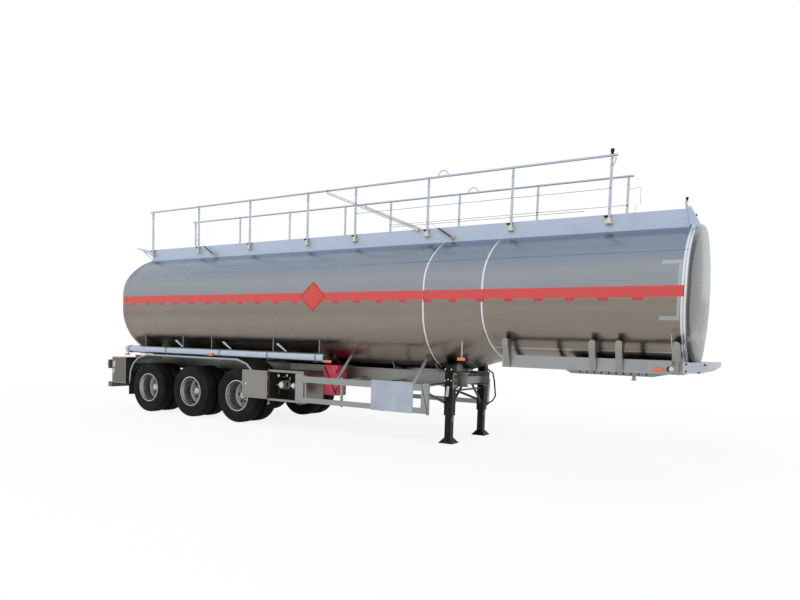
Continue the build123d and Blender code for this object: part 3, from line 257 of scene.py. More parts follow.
def piece(name, shape, finish, body="trailer", slot=None, sharp=35.0, bevel=0.0, replaces=()):
    """Makes one mesh object of a shape, moved into the frame, with its finish, edges and body."""
    verts, groups = shape if isinstance(shape, tuple) else joined(shape)
    verts = verts + np.array([REAR_AXLE, 0.0, 0.0])
    mesh = bpy.data.meshes.new(name)
    mesh.vertices.add(len(verts))
    mesh.vertices.foreach_set("co", verts.astype(np.float32).ravel())
    corners = np.concatenate([group.ravel() for group in groups])
    sizes = np.concatenate([np.full(len(group), group.shape[1]) for group in groups])
    mesh.loops.add(len(corners))
    mesh.loops.foreach_set("vertex_index", corners.astype(np.int32))
    mesh.polygons.add(len(sizes))
    mesh.polygons.foreach_set("loop_start", np.concatenate([[0], np.cumsum(sizes)[:-1]]).astype(np.int32))
    mesh.polygons.foreach_set("loop_total", sizes.astype(np.int32))
    mesh.update(calc_edges=True)
    mesh.validate()
    made = bpy.data.objects.new(name, mesh)
    bpy.context.scene.collection.objects.link(made)
    work = bmesh.new()
    work.from_mesh(mesh)
    bmesh.ops.recalc_face_normals(work, faces=work.faces)
    work.to_mesh(mesh)
    work.free()
    mesh.materials.append(bpy.data.materials[finish])
    mesh.shade_smooth()
    mesh.set_sharp_from_angle(angle=math.radians(sharp))
    if bevel:
        edge = made.modifiers.new("edges", "BEVEL")
        edge.width, edge.segments, edge.limit_method, edge.angle_limit = bevel, 2, "ANGLE", math.radians(40)
    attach(made, body)
    if replaces:
        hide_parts(*replaces)
    return made


def fitting(name, shape, finish, body="trailer", **extra):
    """A piece that wears the finish of a CAD node's slot."""
    return piece(name, shape, finish, body, slot=finish, **extra)


# Shader helpers

class Value:
    """One output socket; arithmetic with it adds Math nodes to its finish."""

    def __init__(self, finish, socket):
        self.finish, self.socket = finish, socket

    def math(self, operation, *others):
        """One Math node on the values given, in their order."""
        return self.finish.node("ShaderNodeMath", dict(operation=operation), dict(enumerate(others)))

    def most(self, other):
        """The larger of two values."""
        return self.math("MAXIMUM", self, other)

    def __add__(self, other):
        return self.math("ADD", self, other)

    def __mul__(self, other):
        return self.math("MULTIPLY", self, other)

    def __sub__(self, other):
        return self.math("SUBTRACT", self, other)

    def __rsub__(self, other):
        return self.math("SUBTRACT", other, self)

    def __truediv__(self, other):
        return self.math("DIVIDE", self, other)

    __radd__, __rmul__ = __add__, __mul__

    def above(self, limit):
        return self.math("GREATER_THAN", self, limit)

    def below(self, limit):
        return self.math("LESS_THAN", self, limit)

    def between(self, low, high):
        return self.above(low) * self.below(high)

    def size(self):
        """The value without its sign."""
        return self.math("ABSOLUTE", self)

    def mod(self, step):
        """What is left of the value after whole steps."""
        return self.math("FLOORED_MODULO", self, step)

    def ramp(self, low, high, start=0.0, end=1.0):
        """Start at low, end at high, and a straight line between them."""
        return self.finish.node("ShaderNodeMapRange", {}, {0: self, 1: low, 2: high, 3: start, 4: end})


class Finish:
    """One material on the frame's coordinates, built round a Principled shader."""

    def __init__(self, name, colour, rough, metal=0.0, coat=0.0, specular=0.5):
        self.material = bpy.data.materials.new(name)
        self.material.use_nodes = True
        self.tree = self.material.node_tree
        self.shader = self.tree.nodes["Principled BSDF"]
        self.set("Base Color", (*colour, 1.0))
        self.set("Roughness", rough)
        self.set("Metallic", metal)
        self.set("Coat Weight", coat)
        self.set("Specular IOR Level", specular)
        self.material.diffuse_color = (*colour, 1.0)

    def node(self, kind, settings=None, values=None, out=0):
        """A new node with its settings and inputs, as the value of one of its outputs."""
        made = self.tree.nodes.new(kind)
        for key, value in (settings or {}).items():
            if key == "stops":
                self.stops(made.color_ramp, value)
            else:
                setattr(made, key, value)
        for key, value in (values or {}).items():
            self.feed(made.inputs[key], value)
        return Value(self, made.outputs[out])

    def stops(self, ramp, stops):
        """Gives a colour ramp its stops, each a place and a colour."""
        while len(ramp.elements) < len(stops):
            ramp.elements.new(0.5)
        for element, (place, colour) in zip(ramp.elements, stops):
            element.position, element.color = place, (*colour, 1.0)

    def feed(self, socket, value):
        """Links a value to a socket, or writes a plain number or colour into it."""
        if isinstance(value, Value):
            self.tree.links.new(value.socket, socket)
        else:
            socket.default_value = value

    def set(self, name, value):
        """Feeds one input of the shader."""
        self.feed(self.shader.inputs[name], value)

    def place(self):
        """The point's place in the object's own coordinates."""
        return self.node("ShaderNodeTexCoord", out="Object")

    def axes(self):
        """The object's x, y and z as three values."""
        split = self.node("ShaderNodeSeparateXYZ", {}, {0: self.place()})
        outs = split.socket.node.outputs
        return tuple(Value(self, outs[i]) for i in range(3))

    def reaches(self):
        """How far a point lies ahead of the rear axle, off the middle plane, and above the ground."""
        x, y, z = self.axes()
        return x - REAR_AXLE, y.size(), z

    def noise(self, scale, detail=3.0, stretch=(1.0, 1.0, 1.0), rough=0.55):
        """Soft patches over the object; a larger stretch makes them shorter along that axis."""
        spread = self.node("ShaderNodeMapping", {}, {"Vector": self.place(), "Scale": stretch})
        settings = {"Vector": spread, "Scale": scale, "Detail": detail, "Roughness": rough}
        return self.node("ShaderNodeTexNoise", {}, settings)

    def mix(self, share, first, second):
        """The first colour where share is 0 and the second where it is 1."""
        first, second = (c if isinstance(c, Value) or len(c) == 4 else (*c, 1.0) for c in (first, second))
        return self.node("ShaderNodeMix", dict(data_type="RGBA"), {0: share, 6: first, 7: second}, out=2)

    def bump(self, height, strength=0.3, depth=0.002):
        """Tilts the shader's normal as if the surface had this height."""
        settings = {"Height": height, "Strength": strength, "Distance": depth}
        self.set("Normal", self.node("ShaderNodeBump", {}, settings))


def shade(colour, factor):
    """A colour made darker or lighter by a factor."""
    return tuple(min(1.0, c * factor) for c in colour)


def metal_finish(name, colour, rough, grain=(1.0, 1.0, 1.0), scale=40.0, spread=0.12, dust=0.0, metal=1.0):
    """Bare sheet or cast metal: a grain stretched along one way, blotches, and dust low down."""
    finish = Finish(name, colour, rough, metal)
    fine = finish.noise(scale, 4.0, grain)
    blotch = finish.noise(2.3, 4.0, (1.0, 1.0, 1.6))
    tone = finish.mix(fine.ramp(0.3, 0.7), shade(colour, 1 - spread), shade(colour, 1 + spread))
    tone = finish.mix(blotch.ramp(0.55, 0.8, 0.0, 0.5), tone, shade(colour, 0.78))
    if dust:
        low = finish.axes()[2].ramp(1.4, 0.3, 0.0, dust)
        tone = finish.mix(low * blotch.ramp(0.35, 0.65), tone, (0.30, 0.27, 0.23))
    finish.set("Base Color", tone)
    finish.set("Roughness", fine.ramp(0.3, 0.7, rough * 0.8, rough * 1.25))
    finish.bump(fine, 0.12, 0.0006)
    return finish


def darkened(finish, mask, colour):
    """Lays a second colour over a finish's own wherever its mask is 1."""
    own = Value(finish, finish.shader.inputs["Base Color"].links[0].from_socket)
    finish.set("Base Color", finish.mix(mask, own, colour))


def shaded_inside(finish):
    """Painted shade on the inner faces of the valve cabinet's box, deep in its recess."""
    along, side, z = finish.reaches()
    inside = along.between(3.427, 4.273) * z.between(0.497, 1.053) * side.below(1.195)
    darkened(finish, inside * 0.75, (0.03, 0.026, 0.018))


def darker_tail(finish):
    """The darker sheet of the rear cabinet."""
    along, _, _ = finish.reaches()
    darkened(finish, along.below(-0.8) * 0.5, (0.07, 0.068, 0.055))


def shaded_beams(finish):
    """Road dirt and painted shade on the frame between the wheels, darker lower down and further in under the
    tank.
    """
    along, side, z = finish.reaches()
    dirt_and_shade = along.between(-0.9, 3.3) * z.ramp(1.26, 1.05) * side.ramp(0.75, 0.6)
    darkened(finish, dirt_and_shade * 0.7, (0.05, 0.046, 0.038))


def pale_nose(finish):
    """The paler, cooler sheet at the front corners of the frame."""
    along, _, _ = finish.reaches()
    darkened(finish, along.above(10.495) * 0.8, (0.50, 0.545, 0.60))


def bare_stems(finish, colour):
    """The plain metal feet and arms that carry the amber lamps."""
    _, side, z = finish.reaches()
    foot = side.between(1.15, 1.2068)
    arm = side.between(0.99, 1.0065) + side.between(0.99, 1.1) * z.above(1.427)
    darkened(finish, foot.most(arm), colour)


def shaded_disc(finish):
    """Painted shade on the inner part of a rim, round its hub, deep in the dish."""
    _, side, _ = finish.reaches()
    darkened(finish, side.ramp(1.0, 0.965, 0.0, 0.72) * side.above(0.90), (0.05, 0.05, 0.048))


def paint_finish(name, colour, rough=0.4, dust=0.2, chips=0.25, coat=0.1, specular=0.5):
    """Sprayed paint: a faint orange peel, thin chipped spots, and dust low down."""
    finish = Finish(name, colour, rough, 0.0, coat, specular)
    peel = finish.noise(180.0, 2.0)
    cloud = finish.noise(3.1, 5.0)
    chip = finish.noise(26.0, 6.0, rough=0.7).ramp(0.68, 0.72)
    tone = finish.mix(cloud.ramp(0.35, 0.7), shade(colour, 0.85), shade(colour, 1.1))
    tone = finish.mix(chip * chips, tone, (0.30, 0.28, 0.26))
    low = finish.axes()[2].ramp(1.3, 0.2, 0.0, dust)
    tone = finish.mix(low * cloud.ramp(0.3, 0.65), tone, (0.33, 0.29, 0.24))
    finish.set("Base Color", tone)
    finish.set("Roughness", cloud.ramp(0.3, 0.7, rough * 0.85, min(1.0, rough * 1.3)))
    finish.bump(peel, 0.08, 0.0004)
    return finish


def rubber_finish(name, colour, rough=0.75, dust=0.35):
    """Moulded rubber: a dull black with pale dust in patches and fine pits."""
    finish = Finish(name, colour, rough, 0.0, 0.0, 0.12)
    pits = finish.noise(220.0, 3.0)
    cloud = finish.noise(4.0, 5.0)
    tone = finish.mix(cloud.ramp(0.4, 0.75, 0.0, dust), colour, (0.17, 0.155, 0.135))
    finish.set("Base Color", tone)
    finish.set("Roughness", cloud.ramp(0.3, 0.7, rough * 0.9, min(1.0, rough * 1.15)))
    finish.bump(pits, 0.15, 0.0005)
    return finish


def tank_finish(look):
    """Polished sheet with long soft ripples, the paint on its flanks, a painted reflection of the yard by
    height and on the front head, and painted highlights on the welds.
    """
    finish = Finish("tank_skin", tuple(look.flank_reflection_colour), look.skin_rough, 1.0)
    along, side, z = finish.reaches()
    brushed = finish.noise(9.0, 5.0, (0.35, 1.0, 26.0))
    ripple = finish.noise(1.1, 2.0, (0.5, 1.0, 1.8))
    tone = finish.mix(weld_shine(along, z), sheet_tone(finish, look, z, brushed), (0.80, 0.84, 0.88))
    band, dash, diamond, border, mark = flank_paint(along, side, z)
    tone = finish.mix(mark * 0.6, tone, (0.42, 0.48, 0.50))
    tone = finish.mix(band, tone, tuple(look.band_colour))
    tone = finish.mix(dash, tone, (0.45, 0.035, 0.05))
    tone = finish.mix(diamond, tone, (0.55, 0.055, 0.045))
    tone = finish.mix(border, tone, (0.16, 0.02, 0.02))
    head = along.ramp(TANK_FRONT + 0.026, TANK_FRONT + 0.05)
    head = head * along.ramp(TANK_FRONT + 0.05, TANK_FRONT + 0.16, 0.97, 0.72)
    # Painted reflection of the yard on the front head.
    tone = finish.mix(head, tone, head_tone(finish, side, z))
    finish.set("Base Color", tone)
    paint = band.most(dash).most(diamond)
    finish.set("Metallic", (1.0 - paint) * (1.0 - mark * 0.4) * (1.0 - head * 0.75))
    base = brushed.ramp(0.35, 0.65, look.skin_rough * 0.85, look.skin_rough * 1.3)
    rough = finish.node("ShaderNodeMix", dict(data_type="FLOAT"), {0: paint, 2: base, 3: 0.42})
    finish.set("Roughness", rough)
    finish.bump(ripple + brushed * (1.0 - head) * 0.05, 0.35, 0.012)
    return finish


def sheet_tone(finish, look, z, brushed):
    """The bare sheet: its colours by height, a painted reflection of the yard and the sky, fine brushing,
    pale clouds, and dark streaks low down.
    """
    cloud = finish.noise(1.7, 4.0, (0.7, 1.0, 1.3))
    # Painted reflection by height: dark belly, warm flank, cool crown.
    height = finish.node("ShaderNodeValToRGB", dict(stops=look_stops(look)), {0: z.ramp(1.1, 3.45)})
    tone = finish.mix(brushed.ramp(0.35, 0.65, 0.0, 0.16), height, (0.36, 0.35, 0.34))
    tone = finish.mix(cloud.ramp(0.45, 0.75, 0.0, 0.10), tone, (0.45, 0.46, 0.48))
    streak = finish.noise(6.0, 4.0, (5.0, 1.0, 0.25)).ramp(0.6, 0.8, 0.0, 0.3) * z.ramp(1.9, 1.3)
    return finish.mix(streak, tone, (0.12, 0.10, 0.08))


def weld_shine(along, z):
    """How much the welds round the tank and the long fold low on its front part catch the light."""
    starts = (STEP_REAR - 0.027, STEP_FRONT - 0.001, TANK_FRONT - 0.035, TANK_FRONT - 0.001)
    weld = sum(along.between(start, start + 0.028) for start in starts)
    fold = z.between(1.596, 1.606) * along.between(STEP_FRONT, TANK_FRONT - 0.06)
    return weld * 0.85 + fold * 0.5


def flank_paint(along, side, z):
    """Where the flanks are painted: the long band, the short dashes below it, the blank diamond, its
    border, and the bracket mark near the nose."""
    flank = side.above(0.9)
    band = z.between(*BAND_HEIGHT) * along.between(-0.82, TANK_FRONT + 0.002)
    dash = (along + 0.5015).mod(DASH_PITCH).below(DASH_LENGTH) * z.between(*DASH_HEIGHT)
    dash = dash * along.between(-0.6, 10.1)
    off = (along - DIAMOND_X).size() / 0.30 + (z - DIAMOND_Z).size() / 0.27
    diamond, border = off.below(1.0), off.between(0.86, 0.93)
    mark_end = 10.435
    upright = z.between(2.03, 2.77) * along.between(mark_end - 0.035, mark_end)
    arms = (z.between(2.735, 2.785) + z.between(2.015, 2.065)) * along.between(mark_end - 0.245, mark_end)
    return [mask * flank for mask in (band, dash, diamond, border, upright.most(arms))]


def head_tone(finish, side, z):
    """The front head's painted reflection of the yard, in zones: pale at the top and round the middle,
    dark near the sides, and brown below with one bright streak. A slow noise wavers their edges."""
    level = z + finish.noise(1.6, 3.0, (1.0, 1.0, 1.0)).ramp(0.3, 0.7, -0.12, 0.12)
    pale = side.ramp(0.72, 0.48) * level.ramp(2.2, 2.4)
    pale = pale.most(level.ramp(3.0, 3.25))
    tone = finish.mix(pale, (0.055, 0.055, 0.052), (0.33, 0.35, 0.37))
    tone = finish.mix(level.ramp(2.08, 1.95), tone, (0.085, 0.08, 0.065))
    return finish.mix(level.between(1.80, 1.92) * 0.7, tone, (0.27, 0.27, 0.25))


def look_stops(look):
    """The sheet's colours from belly to crown, a painted reflection of the yard and the sky: nearly black
    under the belly, warm grey on the flank, paler above the band, and a cool shade under the walkway."""
    warm, grey, cool = tuple(look.belly_reflection_colour), tuple(look.flank_reflection_colour), tuple(look.crown_reflection_colour)
    pale = tuple(0.55 * g + 0.75 * c for g, c in zip(grey, cool))
    return [(0.0, shade(warm, 0.16)), (0.09, shade(warm, 0.42)), (0.16, warm), (0.34, grey),
            (0.50, shade(grey, 0.92)), (0.58, shade(pale, 0.95)), (0.68, pale), (0.78, cool),
            (0.88, shade(cool, 0.93)), (1.0, shade(cool, 1.5))]


# Settings

class TankLook(bpy.types.PropertyGroup):
    """Colours of the tank's sheet: the painted reflection of the yard and the sky from belly to crown, and
    the band's paint.
    """
    # Painted reflection of the yard's horizon on the polished sheet at mid height.
    flank_reflection_colour: FloatVectorProperty(
        name="Sheet", description="Colour of the polished sheet at mid height",
        subtype="COLOR", default=(0.27, 0.225, 0.185), min=0, max=1)
    # Painted reflection of the dark ground and the shade under the tank, low on the sheet.
    belly_reflection_colour: FloatVectorProperty(
        name="Belly", description="Colour of the sheet low down",
        subtype="COLOR", default=(0.20, 0.165, 0.13), min=0, max=1)
    # Painted reflection of the sky, near the crown.
    crown_reflection_colour: FloatVectorProperty(
        name="Crown", description="Colour of the sheet near the crown",
        subtype="COLOR", default=(0.20, 0.26, 0.34), min=0, max=1)
    band_colour: FloatVectorProperty(
        name="Band", description="Colour of the long band",
        subtype="COLOR", default=(0.54, 0.062, 0.058), min=0, max=1)
    skin_rough: FloatProperty(
        name="Roughness", description="Roughness of the polished sheet",
        default=0.24, min=0.02, max=1)
    seam_height: FloatProperty(
        name="Seam height", description="How far a weld bead stands proud",
        default=0.005, min=0, max=0.02, unit="LENGTH")


class WheelLook(bpy.types.PropertyGroup):
    """Tread of the tyres and fastenings of the rims."""
    groove_depth: FloatProperty(
        name="Groove depth", description="Depth of the tread's grooves",
        default=0.012, min=0, max=0.03, unit="LENGTH")
    zigzags: IntProperty(
        name="Zigzags", description="Bends of a groove round a tyre",
        default=48, min=8, max=120)
    nuts: IntProperty(name="Nuts", description="Wheel nuts of a rim", default=10, min=4, max=16)


class RailLook(bpy.types.PropertyGroup):
    """Heights and size of the handrails' wires."""
    middle_wire: FloatProperty(
        name="Middle wire", description="Height of the middle wire",
        default=3.925, min=3.6, max=4.3, unit="LENGTH")
    low_wire: FloatProperty(
        name="Low wire", description="Height of the low wire",
        default=3.63, min=3.56, max=3.9, unit="LENGTH")
    wire_radius: FloatProperty(
        name="Wire radius", description="Radius of a wire",
        default=0.004, min=0.001, max=0.01, unit="LENGTH")


class StageLook(bpy.types.PropertyGroup):
    """Floor, lamps and camera."""
    lamp_strength: FloatProperty(
        name="Lamps", description="Strength of the soft lamps",
        default=0.62, min=0, max=10)
    sky_strength: FloatProperty(
        name="Sky", description="Strength of the even light from all round",
        default=0.7, min=0, max=5)
    focal: FloatProperty(
        name="Focal length", description="Focal length of the camera in millimetres",
        default=27.556, min=10, max=200)


# Pieces

def half_section(section, half=TANK_HALF_WIDTH):
    """Points and outward directions of the right half of a barrel section, from belly to crown:
    the belly arc, the low corner arc, the straight side, the high corner arc and the crown arc.
    An arc's point is its centre plus radius * (cos a, sin a), and its direction is (cos a, sin a)."""
    def shoulder(side_z, end_z, corner_r):
        height = abs(end_z - side_z)
        crown_r = ((half - corner_r) ** 2 + height ** 2 - corner_r ** 2) / (2 * (height - corner_r))
        return crown_r, math.atan2(crown_r - height, half - corner_r)

    def arc(centre, radius, start, end, count):
        a = np.linspace(start, end, count)
        way = np.stack([np.cos(a), np.sin(a)], axis=-1)
        return np.asarray(centre) + radius * way, way

    low_big, low_turn = shoulder(section["side_low"], section["belly"], section["low_r"])
    high_big, high_turn = shoulder(section["side_high"], section["crown"], section["high_r"])
    low_corner = (half - section["low_r"], section["side_low"])
    high_corner = (half - section["high_r"], section["side_high"])
    runs = [
        arc((0, section["belly"] + low_big), low_big, -math.pi / 2, -low_turn, 26),
        arc(low_corner, section["low_r"], -low_turn, 0.0, 22),
        arc(high_corner, section["high_r"], 0.0, high_turn, 22),
        arc((0, section["crown"] - high_big), high_big, high_turn, math.pi / 2, 26),
    ]
    return np.concatenate([r[0] for r in runs]), np.concatenate([r[1] for r in runs])


def whole_section(section):
    """The closed section, anticlockwise seen from the front: its right half, then the mirror image."""
    points, ways = half_section(section)
    flip = np.array([-1.0, 1.0])
    return np.concatenate([points, points[-2:0:-1] * flip]), np.concatenate([ways, ways[-2:0:-1] * flip])


def head_rings(x, bulge, section, way, knuckle=0.075, crown_r=7.0):
    """Rings of a dished head from its rim to its middle. In each plane through the middle line the
    profile is a quarter-round of the knuckle's radius, then the arc of a ball of the crown's radius."""
    points, _ = whole_section(section)
    middle = np.array([0.0, (section["belly"] + section["crown"]) / 2])
    spokes = points - middle
    reach = np.linalg.norm(spokes, axis=1)
    spokes = spokes / reach[:, None]
    inner = reach - knuckle
    ball_x = bulge - crown_r
    knuckle_x = ball_x + np.sqrt((crown_r - knuckle) ** 2 - inner ** 2)
    turn = np.arctan2(knuckle_x - ball_x, inner)
    a = np.linspace(0, 1, 9)[:, None] * turn
    out = inner + knuckle * np.cos(a)
    ahead = knuckle_x + knuckle * np.sin(a)
    share = np.linspace(1, 0.02, 26)[1:, None]
    dish = out[-1] * share
    out = np.concatenate([out, dish])
    ahead = np.concatenate([ahead, ball_x + np.sqrt(crown_r ** 2 - dish ** 2)])
    flat = middle + out[..., None] * spokes
    return np.concatenate([(x + way * ahead)[..., None], flat], axis=-1)


def tank_shape(seam_height):
    """The barrel between two dished heads. The section changes in a straight line from the deep one
    to the shallow one over the step, and weld beads swell out along the section's own directions."""
    seams = np.array([TANK_REAR, STEP_REAR - SEAM_WIDTH, STEP_FRONT,
                      TANK_FRONT - 1.3 * SEAM_WIDTH, TANK_FRONT])
    bead = np.linspace(0, SEAM_WIDTH, 7)
    stations = np.unique(np.round(np.concatenate([
        np.linspace(TANK_REAR, STEP_REAR, 60), np.linspace(STEP_REAR, STEP_FRONT, 16),
        np.linspace(STEP_FRONT, TANK_FRONT, 24), (seams[:, None] + bead).ravel()]), 5))
    into = (stations[:, None] - seams) / SEAM_WIDTH
    round_bead = np.sqrt(np.clip(4 * into * (1 - into), 0, 1))
    swell = np.where((into > 0) & (into < 1), round_bead, 0).max(axis=1) * seam_height
    deep, deep_way = whole_section(DEEP)
    flat, flat_way = whole_section(SHALLOW)
    share = np.clip((stations - STEP_REAR) / (STEP_FRONT - STEP_REAR), 0, 1)[:, None, None]
    section = deep * (1 - share) + flat * share
    way = deep_way * (1 - share) + flat_way * share
    way /= np.linalg.norm(way, axis=-1, keepdims=True)
    section = section + swell[:, None, None] * way
    along = np.broadcast_to(stations[:, None, None], (*section.shape[:2], 1))
    barrel = np.concatenate([along, section], axis=-1)
    rear = head_rings(TANK_REAR, 0.23, DEEP, -1)[::-1]
    front = head_rings(TANK_FRONT, 0.172, SHALLOW, 1)
    return loft(np.concatenate([rear, barrel, front]))


def tyre_profile():
    """The tyre's outline from the inner bead over the tread to the outer bead, as (across, radius,
    share of the groove's depth, share of the zigzag) in rows."""
    side = np.array([
        (0.100, 0.2885), (0.108, 0.296), (0.116, 0.304), (0.124, 0.322), (0.129, 0.345), (0.130, 0.37),
        (0.1298, 0.385), (0.1285, 0.388), (0.1285, 0.396), (0.1295, 0.40), (0.1285, 0.42), (0.1278, 0.44),
        (0.1272, 0.455), (0.1268, 0.462), (0.1245, 0.478), (0.1215, 0.492), (0.116, 0.503),
        (0.110, 0.5105), (0.103, 0.5135)])
    grooves = (0.073, 0.025)
    tread = [(0.1005, 0.5138, 0, 0)]
    for middle in grooves:
        for step, deep in ((0.0065, 0), (0.0045, 1), (-0.0045, 1), (-0.0065, 0)):
            tread.append((middle + step, 0.5195 - 0.35 * (middle + step) ** 2, deep, 1))
    right = np.concatenate([np.concatenate([side, np.zeros((len(side), 2))], axis=1), np.array(tread)])
    return np.concatenate([right, right[::-1] * np.array([-1, 1, 1, 1])])


def tyre_shape(middle_y, x, look):
    """A tyre: its outline carried round the wheel's axis, the grooves' edges swung sideways by a
    triangle wave, and short cuts across the shoulder."""
    outline = tyre_profile()
    count = look.zigzags * 6
    t = np.linspace(0, 2 * np.pi, count, endpoint=False)
    wave = 2 * np.abs(2 * ((t * look.zigzags / (2 * np.pi)) % 1.0) - 1) - 1
    across = outline[:, 0, None] + outline[:, 3, None] * wave * 0.0035
    cut = (np.arange(count) % 6 == 3) * 1.0
    width = np.abs(outline[:, 0])
    shoulder = smooth_step(0.097, 0.101, width) * (1 - smooth_step(0.116, 0.122, width))
    shoulder = shoulder * smooth_step(0.49, 0.5, outline[:, 1])
    radius = outline[:, 1, None] - outline[:, 2, None] * look.groove_depth - shoulder[:, None] * cut * 0.006
    rings = np.stack([x + radius * np.sin(t), middle_y + across, TYRE_RADIUS + radius * np.cos(t)], axis=-1)
    return loft(rings, ends=False, wrap=True)


def hex_nut(radius, height):
    """A nut on a domed washer as a six-sided profile carried out along +Y, its end drawn in."""
    t = np.arange(6) * np.pi / 3
    rows = [(0.0, 1.0), (height * 0.82, 1.0), (height, 0.82)]
    return loft([np.stack([radius * r * np.sin(t), np.full(6, a), radius * r * np.cos(t)], axis=-1)
                 for a, r in rows])


def bolt_head(radius=0.011, height=0.008, way=(0, -1, 0)):
    """A six-sided bolt head with a round washer, standing out along one way."""
    way = np.asarray(way, float)
    guide = np.array([0.0, 0.0, 1.0]) if abs(way[2]) < 0.9 else np.array([1.0, 0.0, 0.0])
    side = np.cross(guide, way)
    side /= np.linalg.norm(side)
    up = np.cross(way, side)
    shapes = []
    washer = ((0.0, 1.35), (0.002, 1.35))
    hexagon = ((0.002, 1.0), (height * 0.85, 1.0), (height, 0.85))
    for count, rows in ((12, washer), (6, hexagon)):
        t = np.arange(count) * 2 * np.pi / count
        ring = np.cos(t)[:, None] * side + np.sin(t)[:, None] * up
        shapes.append(loft([ring * radius * r + way * a for a, r in rows]))
    return joined(shapes)


class TANKER_OT_finishes(bpy.types.Operator):
    """Makes every finish and gives it to the CAD nodes that wear it"""
    bl_idname = "tanker.finishes"
    bl_label = "Finishes"

    def execute(self, context):
        worn = {name: [m.name for m in made.data.materials] for name, made in frame["nodes"].items()}
        for made in frame["nodes"].values():
            made.data.materials.clear()
        for plain in list(bpy.data.materials):
            bpy.data.materials.remove(plain)
        tank_finish(context.scene.tanker_tank)
        self.metals()
        self.paints()
        self.rubbers()
        missing = {slot for slots in worn.values() for slot in slots} - set(bpy.data.materials.keys())
        bare = [name for name, slots in worn.items() if not slots]
        if missing or bare:
            raise RuntimeError(f"no finish for the slots {sorted(missing)}, no slot for the nodes {bare}")
        for name, slots in worn.items():
            for slot in slots:
                frame["nodes"][name].data.materials.append(bpy.data.materials[slot])
        return {"FINISHED"}

    def metals(self):
        metal_finish("walkway_sheet", (0.42, 0.48, 0.59), 0.42, (0.3, 1.0, 8.0), 14.0, 0.05, metal=0.3)
        metal_finish("manhole_metal", (0.55, 0.56, 0.57), 0.35)
        metal_finish("rail_tube", (0.50, 0.55, 0.63), 0.3, (1.0, 1.0, 1.0), 60.0, 0.08)
        shaded_disc(metal_finish("rim_steel", (0.60, 0.61, 0.62), 0.3, (1.0, 0.2, 1.0), 30.0, 0.10, 0.35))
        shaded_beams(metal_finish("frame_metal", (0.34, 0.345, 0.33), 0.45, (0.3, 1.0, 4.0), 20.0, 0.12, 0.3))
        metal_finish("bracket_metal", (0.34, 0.33, 0.30), 0.4, (1.0, 1.0, 4.0), 20.0, 0.12, 0.2)
        pale_nose(metal_finish("coupler_metal", (0.36, 0.37, 0.37), 0.4, (0.3, 1.0, 5.0), 16.0, 0.08))
        metal_finish("pin_steel", (0.35, 0.35, 0.36), 0.35)
        metal_finish("brace_metal", (0.11, 0.10, 0.085), 0.5, dust=0.4, metal=0.5)
        cabinet = metal_finish("cabinet_sheet", (0.30, 0.29, 0.245), 0.42, (0.4, 1.0, 5.0), 18.0, 0.08, 0.3)
        shaded_inside(cabinet)
        darker_tail(cabinet)
        metal_finish("valve_metal", (0.45, 0.45, 0.43), 0.32, dust=0.2)
        metal_finish("guard_sheet", (0.33, 0.35, 0.345), 0.4, (0.3, 1.0, 5.0), 18.0, 0.08, 0.3)
        metal_finish("hose_tube_metal", (0.48, 0.54, 0.64), 0.24, (0.2, 1.0, 14.0), 14.0, 0.08)
        metal_finish("ladder_metal", (0.58, 0.60, 0.62), 0.35)
        metal_finish("strut_chrome", (0.75, 0.76, 0.78), 0.12)
        metal_finish("spring_dark", (0.055, 0.05, 0.045), 0.55, dust=0.5, metal=0.6)
        metal_finish("wire_steel", (0.30, 0.32, 0.33), 0.35)

    def paints(self):
        paint_finish("cream_bracket", (0.62, 0.56, 0.42), 0.4, 0.0, 0.1)
        paint_finish("leg_black", (0.008, 0.009, 0.007), 0.42, 0.05, 0.15, 0.02, 0.15)
        paint_finish("axle_black", (0.02, 0.02, 0.02), 0.5, 0.4, 0.2, 0.05, 0.2)
        paint_finish("bumper_dark", (0.10, 0.095, 0.085), 0.5, 0.5, 0.2)
        paint_finish("strut_black", (0.012, 0.012, 0.012), 0.3, 0.0, 0.1, 0.3)
        paint_finish("extinguisher_red", (0.62, 0.035, 0.085), 0.34, 0.15, 0.05, 0.2)
        paint_finish("sign_white", (0.37, 0.41, 0.48), 0.45, 0.1, 0.05)
        paint_finish("lamp_red", (0.45, 0.012, 0.012), 0.15, 0.1, 0.0, 0.8)
        bare_stems(paint_finish("lamp_amber", (0.80, 0.17, 0.02), 0.2, 0.05, 0.0, 0.6), (0.33, 0.345, 0.33))
        paint_finish("band_dark", (0.035, 0.045, 0.10), 0.45, 0.1, 0.0)
        paint_finish("plate_white", (0.62, 0.63, 0.62), 0.4, 0.1, 0.05)
        paint_finish("tab_blue", (0.05, 0.20, 0.62), 0.4, 0.1, 0.05)
        paint_finish("gauge_pale", (0.66, 0.66, 0.60), 0.35, 0.1, 0.05, 0.2)

    def rubbers(self):
        rubber_finish("black_rubber", (0.012, 0.012, 0.012), 0.65, 0.15)
        rubber_finish("tyre_rubber", (0.0065, 0.008, 0.0075), 0.75, 0.08)


class TANKER_OT_tank(bpy.types.Operator):
    """Makes the tank's smooth skin with its weld beads"""
    bl_idname = "tanker.tank"
    bl_label = "Tank skin"

    def execute(self, context):
        look = context.scene.tanker_tank
        fitting("tank_shell", tank_shape(look.seam_height), "tank_skin", sharp=50, replaces=("tank",))
        return {"FINISHED"}


class TANKER_OT_tyres(bpy.types.Operator):
    """Makes the twelve tyres with their treads"""
    bl_idname = "tanker.tyres"
    bl_label = "Tyres"

    def execute(self, context):
        look = context.scene.tanker_wheels
        for number, x in enumerate(AXLES, 1):
            for name, side in (("right", -1), ("left", 1)):
                pair = [tyre_shape(side * (TRACK + way * TWIN_PITCH) / 2, x, look) for way in (-1, 1)]
                fitting(f"tread_{name}_{number}", pair, "tyre_rubber", f"wheel_{name}_{number}",
                        replaces=(f"tyres_{name}_{number}",))
        return {"FINISHED"}


